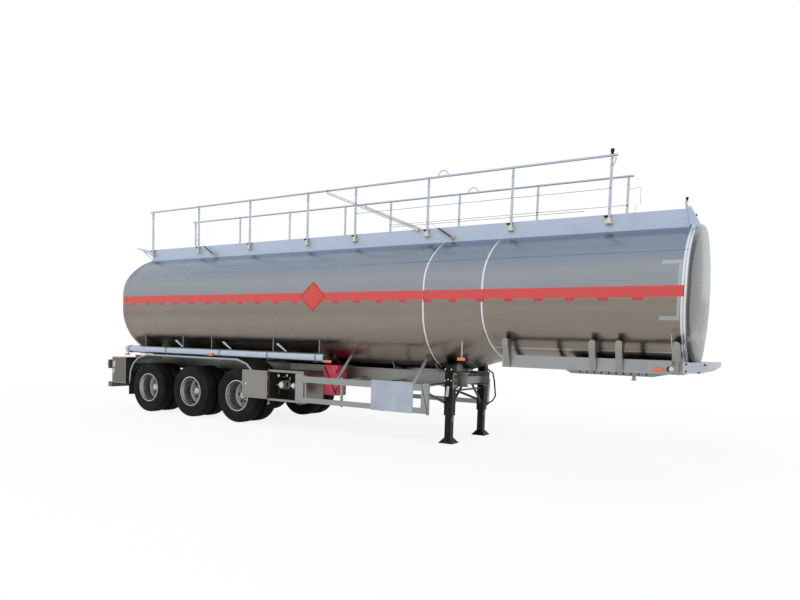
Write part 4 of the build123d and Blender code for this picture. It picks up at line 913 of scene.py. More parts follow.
class TANKER_OT_wheel_nuts(bpy.types.Operator):
    """Makes the nuts and the hub caps of the wheels"""
    bl_idname = "tanker.wheel_nuts"
    bl_label = "Wheel nuts"

    def execute(self, context):
        look = context.scene.tanker_wheels
        t = np.arange(look.nuts) * 2 * np.pi / look.nuts + 0.3
        nut, nut_circle = hex_nut(0.021, 0.03), 0.1425
        face, hub_end = TRACK / 2 + 0.014, TRACK / 2 + 0.139
        dome = [(0.0, 0.058), (0.004, 0.055), (0.007, 0.045), (0.009, 0.02)]
        ring = np.stack([nut_circle * np.sin(t), np.full(len(t), face),
                         TYRE_RADIUS + nut_circle * np.cos(t)], axis=-1)
        for number, x in enumerate(AXLES, 1):
            cap = turned((x, hub_end, TYRE_RADIUS), "y", dome)
            left = joined([copies(nut, ring + np.array([x, 0.0, 0.0])), cap])
            for name, shape in (("right", image(left)), ("left", left)):
                fitting(f"nuts_{name}_{number}", shape, "rim_steel", f"wheel_{name}_{number}", sharp=30)
        return {"FINISHED"}


class TANKER_OT_handrails(bpy.types.Operator):
    """Makes the sleeves, clamps, wires, stays and end pieces of the folding handrails"""
    bl_idname = "tanker.handrails"
    bl_label = "Handrails"

    def execute(self, context):
        look = context.scene.tanker_rails
        for number, x in enumerate(POSTS, 1):
            tall = 0.46 if number in (1, 4) else 0.30
            sleeve = turned((x, -RAIL_Y, 3.53), "z", [(0.0, 0.0225), (tall, 0.0225), (tall + 0.006, 0.0205)])
            fitting(f"post_sleeve_{number}", mirrored(sleeve), "rail_tube", f"post_{number}")
            clamp = turned((x, -RAIL_Y, 4.235), "z", collar(0.036, 0.0215, 0.0245, 0.002))
            spots = [(x, -RAIL_Y - 0.019, 4.338), (x, -RAIL_Y - 0.0245, 4.252)]
            heads = copies(bolt_head(0.009, 0.007), spots)
            fitting(f"post_clamp_{number}", paired([clamp, heads]), "rail_tube", f"post_{number}")
        self.wires(look)
        self.bar_fittings()
        self.nose_fittings()
        self.brackets()
        return {"FINISHED"}

    def wires(self, look):
        """The taut wires of the front posts with their clips, and the long stays with their ends."""
        level = -RAIL_Y + 0.0245
        for number, x in enumerate(POSTS[4:], 5):
            clips = [box((x - 0.012, x + 0.012), (-RAIL_Y - 0.024, level + 0.004),
                         (z - 0.011, z + 0.011), 0.004, "z") for z in (look.middle_wire, look.low_wire)]
            fitting(f"wire_clips_{number}", paired(clips), "black_rubber", f"post_{number}")
        runs = ((POSTS[4], POSTS[7], look.middle_wire), (POSTS[4] + 0.78, POSTS[7] - 0.36, look.low_wire))
        wires = [bar((start, level, z), (end, level, z), look.wire_radius, 8) for start, end, z in runs]
        self.soft("rail_wires", wires, PIVOT_Z, 0.18)
        stays = [bar((4.239, -RAIL_Y - 0.05, 4.354 - drop), (6.182, -RAIL_Y - 0.016, HOOK_Z - drop),
                     look.wire_radius * 1.5, 8) for drop in (0.0, 0.03)]
        self.soft("rail_stays", stays, HOOK_Z, 0.08)
        lugs = box((4.228, 4.25), (-RAIL_Y - 0.058, -RAIL_Y - 0.013), (4.35, 4.386), 0.003)
        fitting("stay_lugs", mirrored(lugs), "rail_tube", "bars")
        hooks = box((6.16, 6.20), (-RAIL_Y - 0.024, -BOARD_FACE), (HOOK_Z - 0.04, HOOK_Z + 0.015), 0.004)
        fitting("stay_hooks", mirrored(hooks), "cream_bracket", bevel=0.001)

    def bar_fittings(self):
        """The bars' end caps, the collars over the posts and the sleeves of the bars' joints."""
        shapes = []
        for x, way in ((POSTS[0] - 0.07, -1), (POSTS[7] + 0.07, 1)):
            cap = [(0.0, 0.0175), (way * 0.006, 0.016), (way * 0.011, 0.009), (way * 0.012, 0.002)]
            shapes.append(turned((x, -RAIL_Y, BAR_Z), "x", cap))
        for x in POSTS:
            shapes.append(turned((x - 0.02, -RAIL_Y, BAR_Z), "x", collar(0.04, 0.018, 0.0215, 0.002)))
        for x in (0.94, 4.02, 7.1):
            shapes.append(turned((x - 0.03, -RAIL_Y, BAR_Z), "x", collar(0.06, 0.018, 0.0195, 0.001)))
        fitting("bar_collars", paired(shapes), "rail_tube", "bars")

    def nose_fittings(self):
        """The black lamp and the catch on the near rail's front end, and the far rail's wire loop."""
        dome = [(0.0, 0.02), (0.03, 0.02), (0.034, 0.026), (0.07, 0.027), (0.078, 0.022), (0.08, 0.005)]
        fitting("bar_lamp", turned((9.35, -RAIL_Y, BAR_Z + 0.015), "z", dome), "black_rubber", "bars")
        hook = [(9.405, -RAIL_Y, 4.35), (9.40, -RAIL_Y, 4.31), (9.372, -RAIL_Y, 4.24)]
        catch = [pipe(hook, (0.009, 0.011, 0.007), 10),
                 bar((9.35, -RAIL_Y, 4.345), (9.408, -RAIL_Y, 4.352), 0.006, 8)]
        fitting("rail_catch", joined(catch), "cream_bracket", "post_8")
        loop = [(9.36, 4.187), (9.545, 4.185), (9.548, 3.927), (9.476, 3.925), (9.474, 3.80), (9.36, 3.79)]
        piece("wire_loop", pipe([(x, RAIL_Y, z) for x, z in loop], 0.0035, 8), "wire_steel", "post_8")

    def brackets(self):
        """The pivot's and the base's bolts of each post's bracket, and its flat foot on the board."""
        pivot_face, foot_face = -BOARD_FACE - 0.060, -BOARD_FACE - 0.004
        bolts, wings = [], []
        for x in POSTS:
            bolts.append(copies(bolt_head(0.013, 0.010), [(x, pivot_face, PIVOT_Z)]))
            for reach, face, z in ((0.028, pivot_face, PIVOT_Z - 0.04), (0.05, foot_face, PIVOT_Z - 0.045)):
                bolts.append(copies(bolt_head(0.007, 0.006), [(x - reach, face, z), (x + reach, face, z)]))
            outline = [(PIVOT_Z - 0.06, x - 0.065), (PIVOT_Z - 0.06, x + 0.065), (PIVOT_Z - 0.02, x + 0.045),
                       (PIVOT_Z - 0.02, x - 0.045)]
            wings.append(slab(outline, foot_face, -BOARD_FACE - 0.0005))
        fitting("bracket_bolts", paired(bolts), "strut_chrome")
        fitting("bracket_feet", paired(wings), "cream_bracket")

    def soft(self, name, shapes, anchor, keep):
        """The wires and their mirror images as one piece with a mesh of its own."""
        made = piece(name, paired(shapes), "wire_steel")
        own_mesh(made)


class TANKER_OT_walkway(bpy.types.Operator):
    """Makes the rims of the walkway's sheets, the corner buffers and the manholes' fastenings"""
    bl_idname = "tanker.walkway"
    bl_label = "Walkway"

    def execute(self, context):
        side, tip = -0.553, (-1.317, 3.621)
        rims = [pipe([(-0.762, side, 3.437), (-1.318, side, tip[1])], 0.007, 8),
                pipe([(tip[0], side, tip[1]), (tip[0], 0.0, tip[1])], 0.007, 8)]
        brace = [bar((-0.77, -0.50, 3.30), (-1.18, -0.50, 3.563), 0.009, 10)]
        fitting("flap_rim", paired(rims + brace), "rail_tube")
        dome = [(0.0, 0.012), (0.018, 0.012), (0.02, 0.018), (0.046, 0.018), (0.052, 0.012), (0.053, 0.002)]
        fitting("corner_buffers", mirrored(turned((10.368, -0.565, 3.655), "z", dome)), "black_rubber")
        seats = box((10.352, 10.384), (-0.581, -0.549), (3.635, 3.656), 0.004, "z")
        fitting("buffer_seats", mirrored(seats), "cream_bracket", bevel=0.001)
        cheeks = slab([(3.615, 10.405), (3.30, 10.572), (3.29, 10.50), (3.44, 10.41)], -0.5555, -0.5505)
        fitting("front_cheeks", mirrored(cheeks), "walkway_sheet")
        for number, x in enumerate(MANHOLES, 1):
            fitting(f"lid_fittings_{number}", self.lid(x), "manhole_metal", f"lid_{number}")
        runs = [pipe([(-0.70, y, 3.405), (-0.55, y, 3.432), (9.9, y, 3.432), (10.2, y, 3.412)], 0.012, 10)
                for y in (-0.42, -0.385)]
        clips = [box((x - 0.015, x + 0.015), (-0.442, -0.363), (3.405, 3.448), 0.004, "x")
                 for x in np.arange(0.2, 9.9, 1.2)]
        piece("walkway_pipes", joined(runs + clips), "wire_steel")
        return {"FINISHED"}

    def lid(self, x):
        """A lid's ring of bolts, raised rim, small filler cap and bent handle, on its top face."""
        top, bolt_circle, count = 3.501, 0.262, 10
        t = (np.arange(count) + 0.5) * 2 * np.pi / count
        ring = np.stack([x + bolt_circle * np.cos(t), bolt_circle * np.sin(t), np.full(count, top)], axis=-1)
        bolts = copies(bolt_head(0.011, 0.012, (0, 0, 1)), ring)
        edge = [(0.0, 0.2845), (0.006, 0.2845), (0.008, 0.280), (0.008, 0.272), (0.0, 0.270)]
        rim = revolved(edge, (x, 0, top), "z", 64)
        dome = [(0.0, 0.035), (0.03, 0.035), (0.036, 0.028), (0.05, 0.02), (0.052, 0.004)]
        cap = turned((x + 0.16, 0.08, top), "z", dome)
        bend = [(-0.12, -0.16, 0.0), (-0.12, -0.16, 0.03), (-0.02, -0.19, 0.036),
                (0.08, -0.16, 0.03), (0.08, -0.16, 0.0)]
        grip = pipe([(x + ahead, y, top + rise) for ahead, y, rise in bend], 0.006, 8)
        return joined([bolts, rim, cap, grip])


class TANKER_OT_side_fittings(bpy.types.Operator):
    """Makes the bands, gussets and trims along both sides"""
    bl_idname = "tanker.side_fittings"
    bl_label = "Side fittings"

    def execute(self, context):
        bands = [revolved(collar(0.02, 0.0805, 0.0826, 0.001), (x - 0.01, -HOSE_Y, HOSE_Z), "x", 40)
                 for x in HOSE_BANDS]
        piece("hose_bands", paired(bands), "band_dark")
        rear_cap = [(0.0, 0.0748), (-0.004, 0.0745), (-0.009, 0.068), (-0.010, 0.03),
                    (-0.018, 0.02), (-0.019, 0.002)]
        front_cap = [(0.0, 0.0748), (0.004, 0.0745), (0.009, 0.068), (0.010, 0.002)]
        ends = [turned((-0.77, -HOSE_Y, HOSE_Z), "x", rear_cap),
                turned((HOSE_FRONT, -HOSE_Y, HOSE_Z), "x", front_cap)]
        fitting("hose_ends", paired(ends), "hose_tube_metal")
        gusset = [(1.405, 0.02), (1.405, 0.075), (1.555, -0.155), (1.535, -0.205)]
        gussets = [slab([(z, x + ahead) for z, ahead in gusset], -1.045, -1.037) for x in (0.83, 2.23, 3.66)]
        fitting("hose_gussets", paired(gussets), "walkway_sheet", bevel=0.002)
        lip = pipe([(x, -1.2215, z - 0.004) for x, z in ARCH], 0.0065, 10)
        fitting("arch_lips", mirrored(lip), "walkway_sheet")
        guard_end = box((6.70, 6.838), (-1.223, -1.192), (0.506, 0.998), 0.006)
        fitting("guard_ends", mirrored(guard_end), "guard_sheet", bevel=0.001)
        return {"FINISHED"}


class TANKER_OT_cabinets(bpy.types.Operator):
    """Makes the trims, latches, caps, gauges and blank labels of the cabinets"""
    bl_idname = "tanker.cabinets"
    bl_label = "Cabinets"

    def execute(self, context):
        self.valve_leaf()
        self.valve_box()
        self.outlets()
        self.tail_leaf()
        self.bottle_boxes()
        return {"FINISHED"}

    def valve_leaf(self):
        """The valve cabinet's door: a raised edge, a row of rivets round it and a round latch."""
        skin = -1.248
        rim = self.edging((2.808, 3.442), (0.518, 1.032), 0.016, skin - 0.0015, skin + 0.0005)
        rows = [(x, skin, z) for z in (0.545, 1.005) for x in np.arange(2.84, 3.42, 0.048)]
        rows += [(x, skin, z) for x in (2.84, 3.41) for z in np.arange(0.59, 0.98, 0.048)]
        fitting("leaf_trim", joined(rim), "guard_sheet", "valve_leaf")
        fitting("leaf_rivets", copies(bolt_head(0.004, 0.0012), rows), "axle_black", "valve_leaf")
        latch = turned((2.90, skin, 0.775), "y", [(0.0, 0.018), (-0.001, 0.017), (-0.0017, 0.004)])
        fitting("leaf_latch", latch, "strut_chrome", "valve_leaf")

    def valve_box(self):
        """The valve cabinet's front edge with its plate, and the foot under its hinge."""
        edge = self.edging((3.421, 4.279), (0.491, 1.059), 0.024, CABINET_FACE - 0.003, CABINET_FACE)
        edge += [box((4.09, 4.255), (CABINET_FACE - 0.002, CABINET_FACE), (0.535, 1.015))]
        fitting("cabinet_rim", joined(edge), "guard_sheet", bevel=0.0008)
        foot = [box((3.395, 3.433), (-1.19, -1.15), (0.405, 0.449), 0.004, "y"),
                box((3.408, 3.42), (-1.175, -1.165), (0.446, 0.492))]
        fitting("cabinet_foot", joined(foot), "guard_sheet", bevel=0.001)

    def outlets(self):
        """The capped outlets with their ears and flange bolts, and the gauges and drains among them."""
        face, middle = CABINET_FACE, 0.785
        eye = [(-0.003, 0.016), (0.003, 0.016), (0.003, 0.010), (-0.003, 0.010)]
        t = np.arange(8) * np.pi / 4
        caps, ears, rings = [], [], []
        for x, radius in ((3.67, 0.052), (3.96, 0.040)):
            cap = [(0.0, radius), (-0.008, radius), (-0.012, radius * 0.93), (-0.013, radius * 0.55),
                   (-0.02, radius * 0.5), (-0.022, radius * 0.1)]
            caps.append(turned((x, face + 0.09, middle), "y", cap))
            for side in (-1, 1):
                start = (x + side * radius, face + 0.115, middle)
                ears.append(bar(start, (x + side * (radius + 0.045), face + 0.085, middle), 0.008, 10))
                ears.append(revolved(eye, (x + side * (radius + 0.052), face + 0.082, middle), "y", 20))
            circle = radius + 0.013
            spots = np.stack([x + circle * np.cos(t), np.full(8, face + 0.14),
                              middle + circle * np.sin(t)], axis=-1)
            rings.append(copies(bolt_head(0.007, 0.008), spots))
        cases, dials = self.gauges(face)
        piece("outlet_caps", joined(caps + dials), "gauge_pale")
        fitting("outlet_ears", joined(ears), "valve_metal")
        fitting("outlet_gauges", joined(rings + cases + self.drains(face)), "axle_black")

    def gauges(self, face):
        """The gauges' cases with the bent pipes behind them, and their pale dials."""
        cases, dials = [], []
        for x, z, radius in ((3.60, 0.955, 0.035), (3.80, 0.965, 0.028), (4.02, 0.95, 0.025)):
            case = [(0.03, radius * 0.6), (0.0, radius), (-0.006, radius), (-0.008, radius * 0.9)]
            dial = [(0.0, radius * 0.8), (-0.001, radius * 0.78), (-0.0012, 0.002)]
            stem = [(x, face + 0.13, z), (x, face + 0.30, z - 0.03), (x, face + 0.40, z - 0.05)]
            cases += [turned((x, face + 0.10, z), "y", case), pipe(stem, 0.008, 8)]
            dials.append(turned((x, face + 0.0925, z), "y", dial))
        return cases, dials

    def drains(self, face):
        """The bent drain pipes beside the outlets, and the bar behind them."""
        bent = []
        for x, length in ((3.52, 0.16), (4.12, 0.12)):
            bend = [(x, face + 0.2, 0.60), (x, face + 0.2, 0.60 + length),
                    (x + 0.03, face + 0.16, 0.63 + length)]
            bent.append(pipe(bend, 0.010, 10))
        return bent + [box((3.48, 4.08), (face + 0.36, face + 0.38), (0.66, 0.71), 0.004, "x")]

    def tail_leaf(self):
        """The rear cabinet's door: a raised edge, a blank label, and a handle on its plate."""
        skin = -1.169
        trim = self.edging((-1.313, -0.839), (0.557, 1.123), 0.014, skin - 0.002, skin)
        fitting("tail_leaf_trim", joined(trim), "guard_sheet", "tail_leaf")
        label = box((-1.285, -1.205), (skin - 0.0015, skin), (0.90, 1.04), 0.006)
        piece("tail_label", label, "plate_white", "tail_leaf")
        bend = [(skin, 0.86), (-1.19, 0.855), (-1.19, 0.765), (skin, 0.76)]
        grip = [pipe([(-1.25, y, z) for y, z in bend], 0.006, 8),
                box((-1.275, -1.225), (skin - 0.003, skin), (0.74, 0.88), 0.008)]
        fitting("tail_latch", joined(grip), "strut_chrome", "tail_leaf")

    def bottle_boxes(self):
        """The red boxes' doors with two hinges and a latch each."""
        face = -0.9
        doors = box((4.493, 4.787), (face - 0.004, face), (0.665, 1.175), 0.012)
        fitting("bottle_doors", mirrored(doors), "extinguisher_red", bevel=0.0015)
        dark = [box((4.765, 4.795), (face - 0.012, face), (z - 0.03, z + 0.03), 0.005) for z in (0.76, 1.08)]
        dark += [box((4.50, 4.53), (face - 0.014, face), (0.90, 0.95), 0.006)]
        fitting("bottle_latches", paired(dark), "axle_black", bevel=0.001)

    def edging(self, x, z, width, low, high):
        """Four flat strips round the edge of a rectangle."""
        return [box(x, (low, high), (z[0], z[0] + width)), box(x, (low, high), (z[1] - width, z[1])),
                box((x[0], x[0] + width), (low, high), (z[0] + width, z[1] - width)),
                box((x[1] - width, x[1]), (low, high), (z[0] + width, z[1] - width))]


class TANKER_OT_landing_gear(bpy.types.Operator):
    """Makes the gear cases, bolted plates, blank label and tabs of the landing legs"""
    bl_idname = "tanker.landing_gear"
    bl_label = "Landing gear"

    def execute(self, context):
        self.cases()
        self.fastenings()
        self.feet()
        return {"FINISHED"}

    def cases(self):
        """The gear cases, the bands and ribs of the outer tubes, the crank handle and the braces' ends."""
        near, half = -(LEG_Y + 0.07), 0.073
        case = [box((6.86, 7.0), (near - 0.022, near), (1.02, 1.235), 0.02),
                box((6.89, 6.97), (near - 0.034, near - 0.02), (1.10, 1.19), 0.016)]
        bands = [box((LEG_X - half, LEG_X + half), (near - 0.003, -LEG_Y + half), (z, z + 0.018), 0.004, "z")
                 for z in (0.462, 0.66, 1.268)]
        ribs = [box((LEG_X - 0.012, LEG_X + 0.012), (near - 0.004, near), span)
                for span in ((0.50, 0.64), (0.70, 0.74))]
        fitting("leg_cases", paired(case + bands + ribs), "leg_black", bevel=0.002)
        bend = [(6.931, 0.80, 1.19), (6.974, 0.80, 1.19), (7.062, 0.80, 1.136), (7.098, 0.80, 0.997),
                (7.131, 0.80, 0.717), (7.089, 0.79, 0.629), (6.99, 0.74, 0.56), (6.976, 0.71, 0.55)]
        fitting("crank_handle", pipe(bend, 0.014, 12), "leg_black")
        clevis = [bar((LEG_X, -LEG_Y + 0.075, BRACE_EYE_Z), (LEG_X, -LEG_Y + 0.055, BRACE_EYE_Z), 0.03, 14),
                  box((LEG_X - 0.05, LEG_X + 0.05), (-0.09, 0.0), (1.045, 1.10), 0.008, "x")]
        fitting("brace_feet", paired(clevis), "brace_metal", bevel=0.002)

    def fastenings(self):
        """The bolts of the gear cases and of the plates in front, the plates' strips, and the labels."""
        near = -(LEG_Y + 0.07)
        plate_face = LEG_X + 0.078
        spots = [(LEG_X + dx, near - 0.022, z) for dx in (-0.055, 0.055) for z in (1.035, 1.22)]
        spots.append((LEG_X, near - 0.022, 1.05))
        rows = [(plate_face, -LEG_Y + dy, z) for dy in (-0.05, 0.0, 0.05) for z in (0.95, 1.05, 1.14)]
        bolts = [copies(bolt_head(0.009, 0.008), spots), copies(bolt_head(0.011, 0.009, (1, 0, 0)), rows)]
        fitting("leg_bolts", paired(bolts), "strut_chrome")
        strip = box((plate_face, plate_face + 0.004), (-LEG_Y - 0.073, -LEG_Y - 0.035),
                    (0.905, 1.165), 0.004, "x")
        fitting("leg_strips", mirrored(strip), "guard_sheet")
        piece("leg_label", box((6.885, 6.945), (near - 0.0015, near), (0.765, 0.94), 0.004), "plate_white")
        tabs = [box((6.984, 6.990), y, (0.352, 0.442), 0.003, "x")
                for y in ((-0.668, -0.592), (0.622, 0.696))]
        piece("leg_tabs", joined(tabs), "tab_blue")

    def feet(self):
        """The feet's base plates and the pointed webs on them."""
        half = 0.128
        plate = box((LEG_X - half, LEG_X + half), (-LEG_Y - half, -LEG_Y + half), (0.0, 0.008), 0.012, "z")
        right = [(0.16, 0.006), (0.09, 0.02), (0.012, 0.045)]
        outline = [(z, LEG_X - out) for z, out in right[::-1]] + [(z, LEG_X + out) for z, out in right]
        web = slab(outline, -LEG_Y - half + 0.012, -LEG_Y - half + 0.036)
        fitting("foot_plates", paired([plate, web]), "leg_black", bevel=0.002)


class TANKER_OT_front_frame(bpy.types.Operator):
    """Makes the bolts, strips and reflectors of the front frame and the king-pin plate"""
    bl_idname = "tanker.front_frame"
    bl_label = "Front frame"

    def execute(self, context):
        spots = [(10.535, -1.1, 1.365), (10.535, -1.1, 1.455), (10.755, -1.1, 1.455), (10.69, -1.1, 1.355)]
        fitting("nose_bolts", mirrored(copies(bolt_head(0.010, 0.006), spots)), "axle_black")
        edge = [(10.503, 1.474), (10.794, 1.474), (10.794, 1.418), (10.70, 1.346), (10.503, 1.346)]
        lip = pipe([(x, -1.1025, z) for x, z in edge], 0.0035, 6)
        fitting("nose_lips", mirrored(lip), "strut_chrome")
        self.plate()
        self.reflectors()
        drain = pipe([(10.345, -1.165, 1.83), (10.352, -1.138, 1.74), (10.356, -1.102, 1.65)], 0.006, 8)
        fitting("seam_drains", mirrored(drain), "rail_tube")
        head = [(-0.02, 0.03), (0.0, 0.03), (0.0, 0.02), (-0.001, 0.004)]
        fitting("nose_couplings", mirrored(turned((10.797, -0.35, 1.44), "x", head)), "axle_black")
        return {"FINISHED"}

    def plate(self):
        """The king-pin plate's rows of bolts, its edges and its tail."""
        face = -0.52
        rows = [(x, face, z) for x in np.arange(9.02, 10.0, 0.105) for z in (1.275, 1.298)]
        fitting("plate_bolts", mirrored(copies(bolt_head(0.009, 0.006), rows)), "axle_black")
        edges = [box((8.86, 10.24), (face - 0.007, face), (1.3, 1.309), 0.002, "x"),
                 box((8.99, 9.93), (face - 0.007, face), (1.252, 1.258), 0.002, "x")]
        fitting("plate_edges", paired(edges), "coupler_metal")
        tail = box((8.80, 8.86), (-0.50, -0.40), (1.275, 1.31), 0.008)
        fitting("plate_tail", mirrored(tail), "cream_bracket", bevel=0.002)

    def reflectors(self):
        """The round reflectors beside the front lamps, each on a black ring set a little behind it."""
        face, middle = -1.098, 1.385
        disc = [(0.0, 0.03), (-0.012, 0.03), (-0.014, 0.027), (-0.0145, 0.004)]
        ring = [(0.0, 0.033), (-0.010, 0.033), (-0.012, 0.028), (-0.0125, 0.004)]
        piece("front_reflectors", mirrored(turned((10.362, face, middle), "y", disc)), "plate_white")
        fitting("reflector_backs", mirrored(turned((10.335, face, middle), "y", ring)), "axle_black")


class TANKER_OT_rear_end(bpy.types.Operator):
    """Makes the lamps' lenses, the reflecting strips and the fastenings at the back"""
    bl_idname = "tanker.rear_end"
    bl_label = "Rear end"

    def execute(self, context):
        self.lamps()
        self.strips()
        self.fastenings()
        self.ladder_grips()
        return {"FINISHED"}

    def lamps(self):
        """The rims of the three lamps a side, with four rows of red lens in each."""
        rims, lenses = [], []
        for y in (1.08, 0.96, 0.84):
            rims += self.rim((-y - 0.05, -y + 0.05), (0.905, 1.015), 0.008, BACK + 0.0005, BACK + 0.03)
            for low in 0.917 + 0.023 * np.arange(4):
                lens = box((BACK, BACK + 0.002), (-y - 0.04, -y + 0.04), (low, low + 0.018), 0.004, "x")
                lenses.append(lens)
        fitting("lamp_rims", paired(rims), "axle_black")
        fitting("lamp_lenses", paired(lenses), "lamp_red")

    def strips(self):
        """The bumper's red and pale reflecting strips in turn."""
        depth, height = (BACK + 0.0185, BACK + 0.02), (0.475, 0.535)
        starts = -1.12 + 0.14 * np.arange(8)
        strips = [box(depth, span, height) for span in zip(starts, starts[1:])]
        fitting("bumper_strips", paired(strips[::2]), "lamp_red")
        piece("bumper_pale", paired(strips[1::2]), "plate_white")

    def fastenings(self):
        """The blank plate, the bolts round it, and the mudflaps' bars with theirs."""
        plate = box((BACK + 0.024, BACK + 0.03), (-0.26, 0.26), (0.90, 1.02), 0.01, "x")
        fitting("rear_plate", plate, "sign_white", bevel=0.001)
        head = bolt_head(0.011, 0.008, (-1, 0, 0))
        bolts = [copies(head, [(BACK + 0.03, -y, z) for y in (0.41, 0.49) for z in (0.89, 1.03)]),
                 copies(head, [(FLAP_FACE, -y, 0.62) for y in (0.70, 0.84, 0.98, 1.12)])]
        fitting("rear_bolts", paired(bolts), "strut_chrome")
        flap_bar = box((FLAP_FACE - 0.0025, FLAP_FACE), (-1.19, -0.66), (0.35, 0.42), 0.02, "x")
        fitting("flap_bars", mirrored(flap_bar), "guard_sheet")

    def ladder_grips(self):
        """The raised rings round each rung of the ladder."""
        ridge = np.array([(0.0, 0.0142), (0.002, 0.0158), (0.008, 0.0158), (0.010, 0.0142)])
        grips = [revolved(ridge, (-1.13, y, z), "y", 16)
                 for z in 1.2 + 0.29 * np.arange(8) for y in np.arange(-0.17, 0.165, 0.025)]
        fitting("rung_grips", joined(grips), "ladder_metal")

    def rim(self, y, z, width, low, high):
        """Four strips round a lamp."""
        return [box((low, high), y, (z[0] - width, z[0])), box((low, high), y, (z[1], z[1] + width)),
                box((low, high), (y[0] - width, y[0]), (z[0] - width, z[1] + width)),
                box((low, high), (y[1], y[1] + width), (z[0] - width, z[1] + width))]


class TANKER_OT_running_gear(bpy.types.Operator):
    """Makes the springs' U bolts, the hangers' pins and the rigid air pipes"""
    bl_idname = "tanker.running_gear"
    bl_label = "Running gear"

    def execute(self, context):
        clips, pins, nuts = [], [], []
        hoop = [(0.512, 0.44), (0.512, 0.745), (0.495, 0.757), (0.405, 0.757), (0.388, 0.745), (0.388, 0.44)]
        for x in AXLES:
            for ahead in (-0.055, 0.055):
                clips.append(pipe([(x + ahead, -y, z) for y, z in hoop], 0.009, 10))
            clips.append(box((x - 0.085, x + 0.085), (-0.53, -0.37), (0.43, 0.444), 0.006, "z"))
        washer = [(-0.008, 0.022), (-0.006, 0.026), (0.006, 0.026), (0.008, 0.022)]
        for i in range(len(AXLES) + 1):
            x = (i - 0.5) * AXLES[1]
            pins += [turned((x, y, 0.70), "y", washer) for y in (-0.513, -0.387)]
            nuts.append(copies(bolt_head(0.014, 0.012), [(x - 0.09, -0.51, 0.88), (x + 0.09, -0.51, 0.88)]))
        fitting("spring_clips", paired(clips), "axle_black")
        fitting("hanger_pins", paired(pins + nuts), "brace_metal")
        pipes = [pipe([(-1.2, -0.43, 1.14), (5.2, -0.43, 1.14), (6.9, -0.43, 1.14)], 0.008, 8),
                 pipe([(-1.2, -0.41, 1.14), (6.9, -0.41, 1.14)], 0.006, 8)]
        drop = [(-0.25, 0.56), (-0.22, 0.66), (-0.32, 0.86), (-0.43, 0.96), (-0.435, 1.12)]
        pipes += [pipe([(x - 0.18, y, z) for y, z in drop], 0.007, 8) for x in AXLES]
        fitting("air_pipes", paired(pipes), "black_rubber")
        return {"FINISHED"}


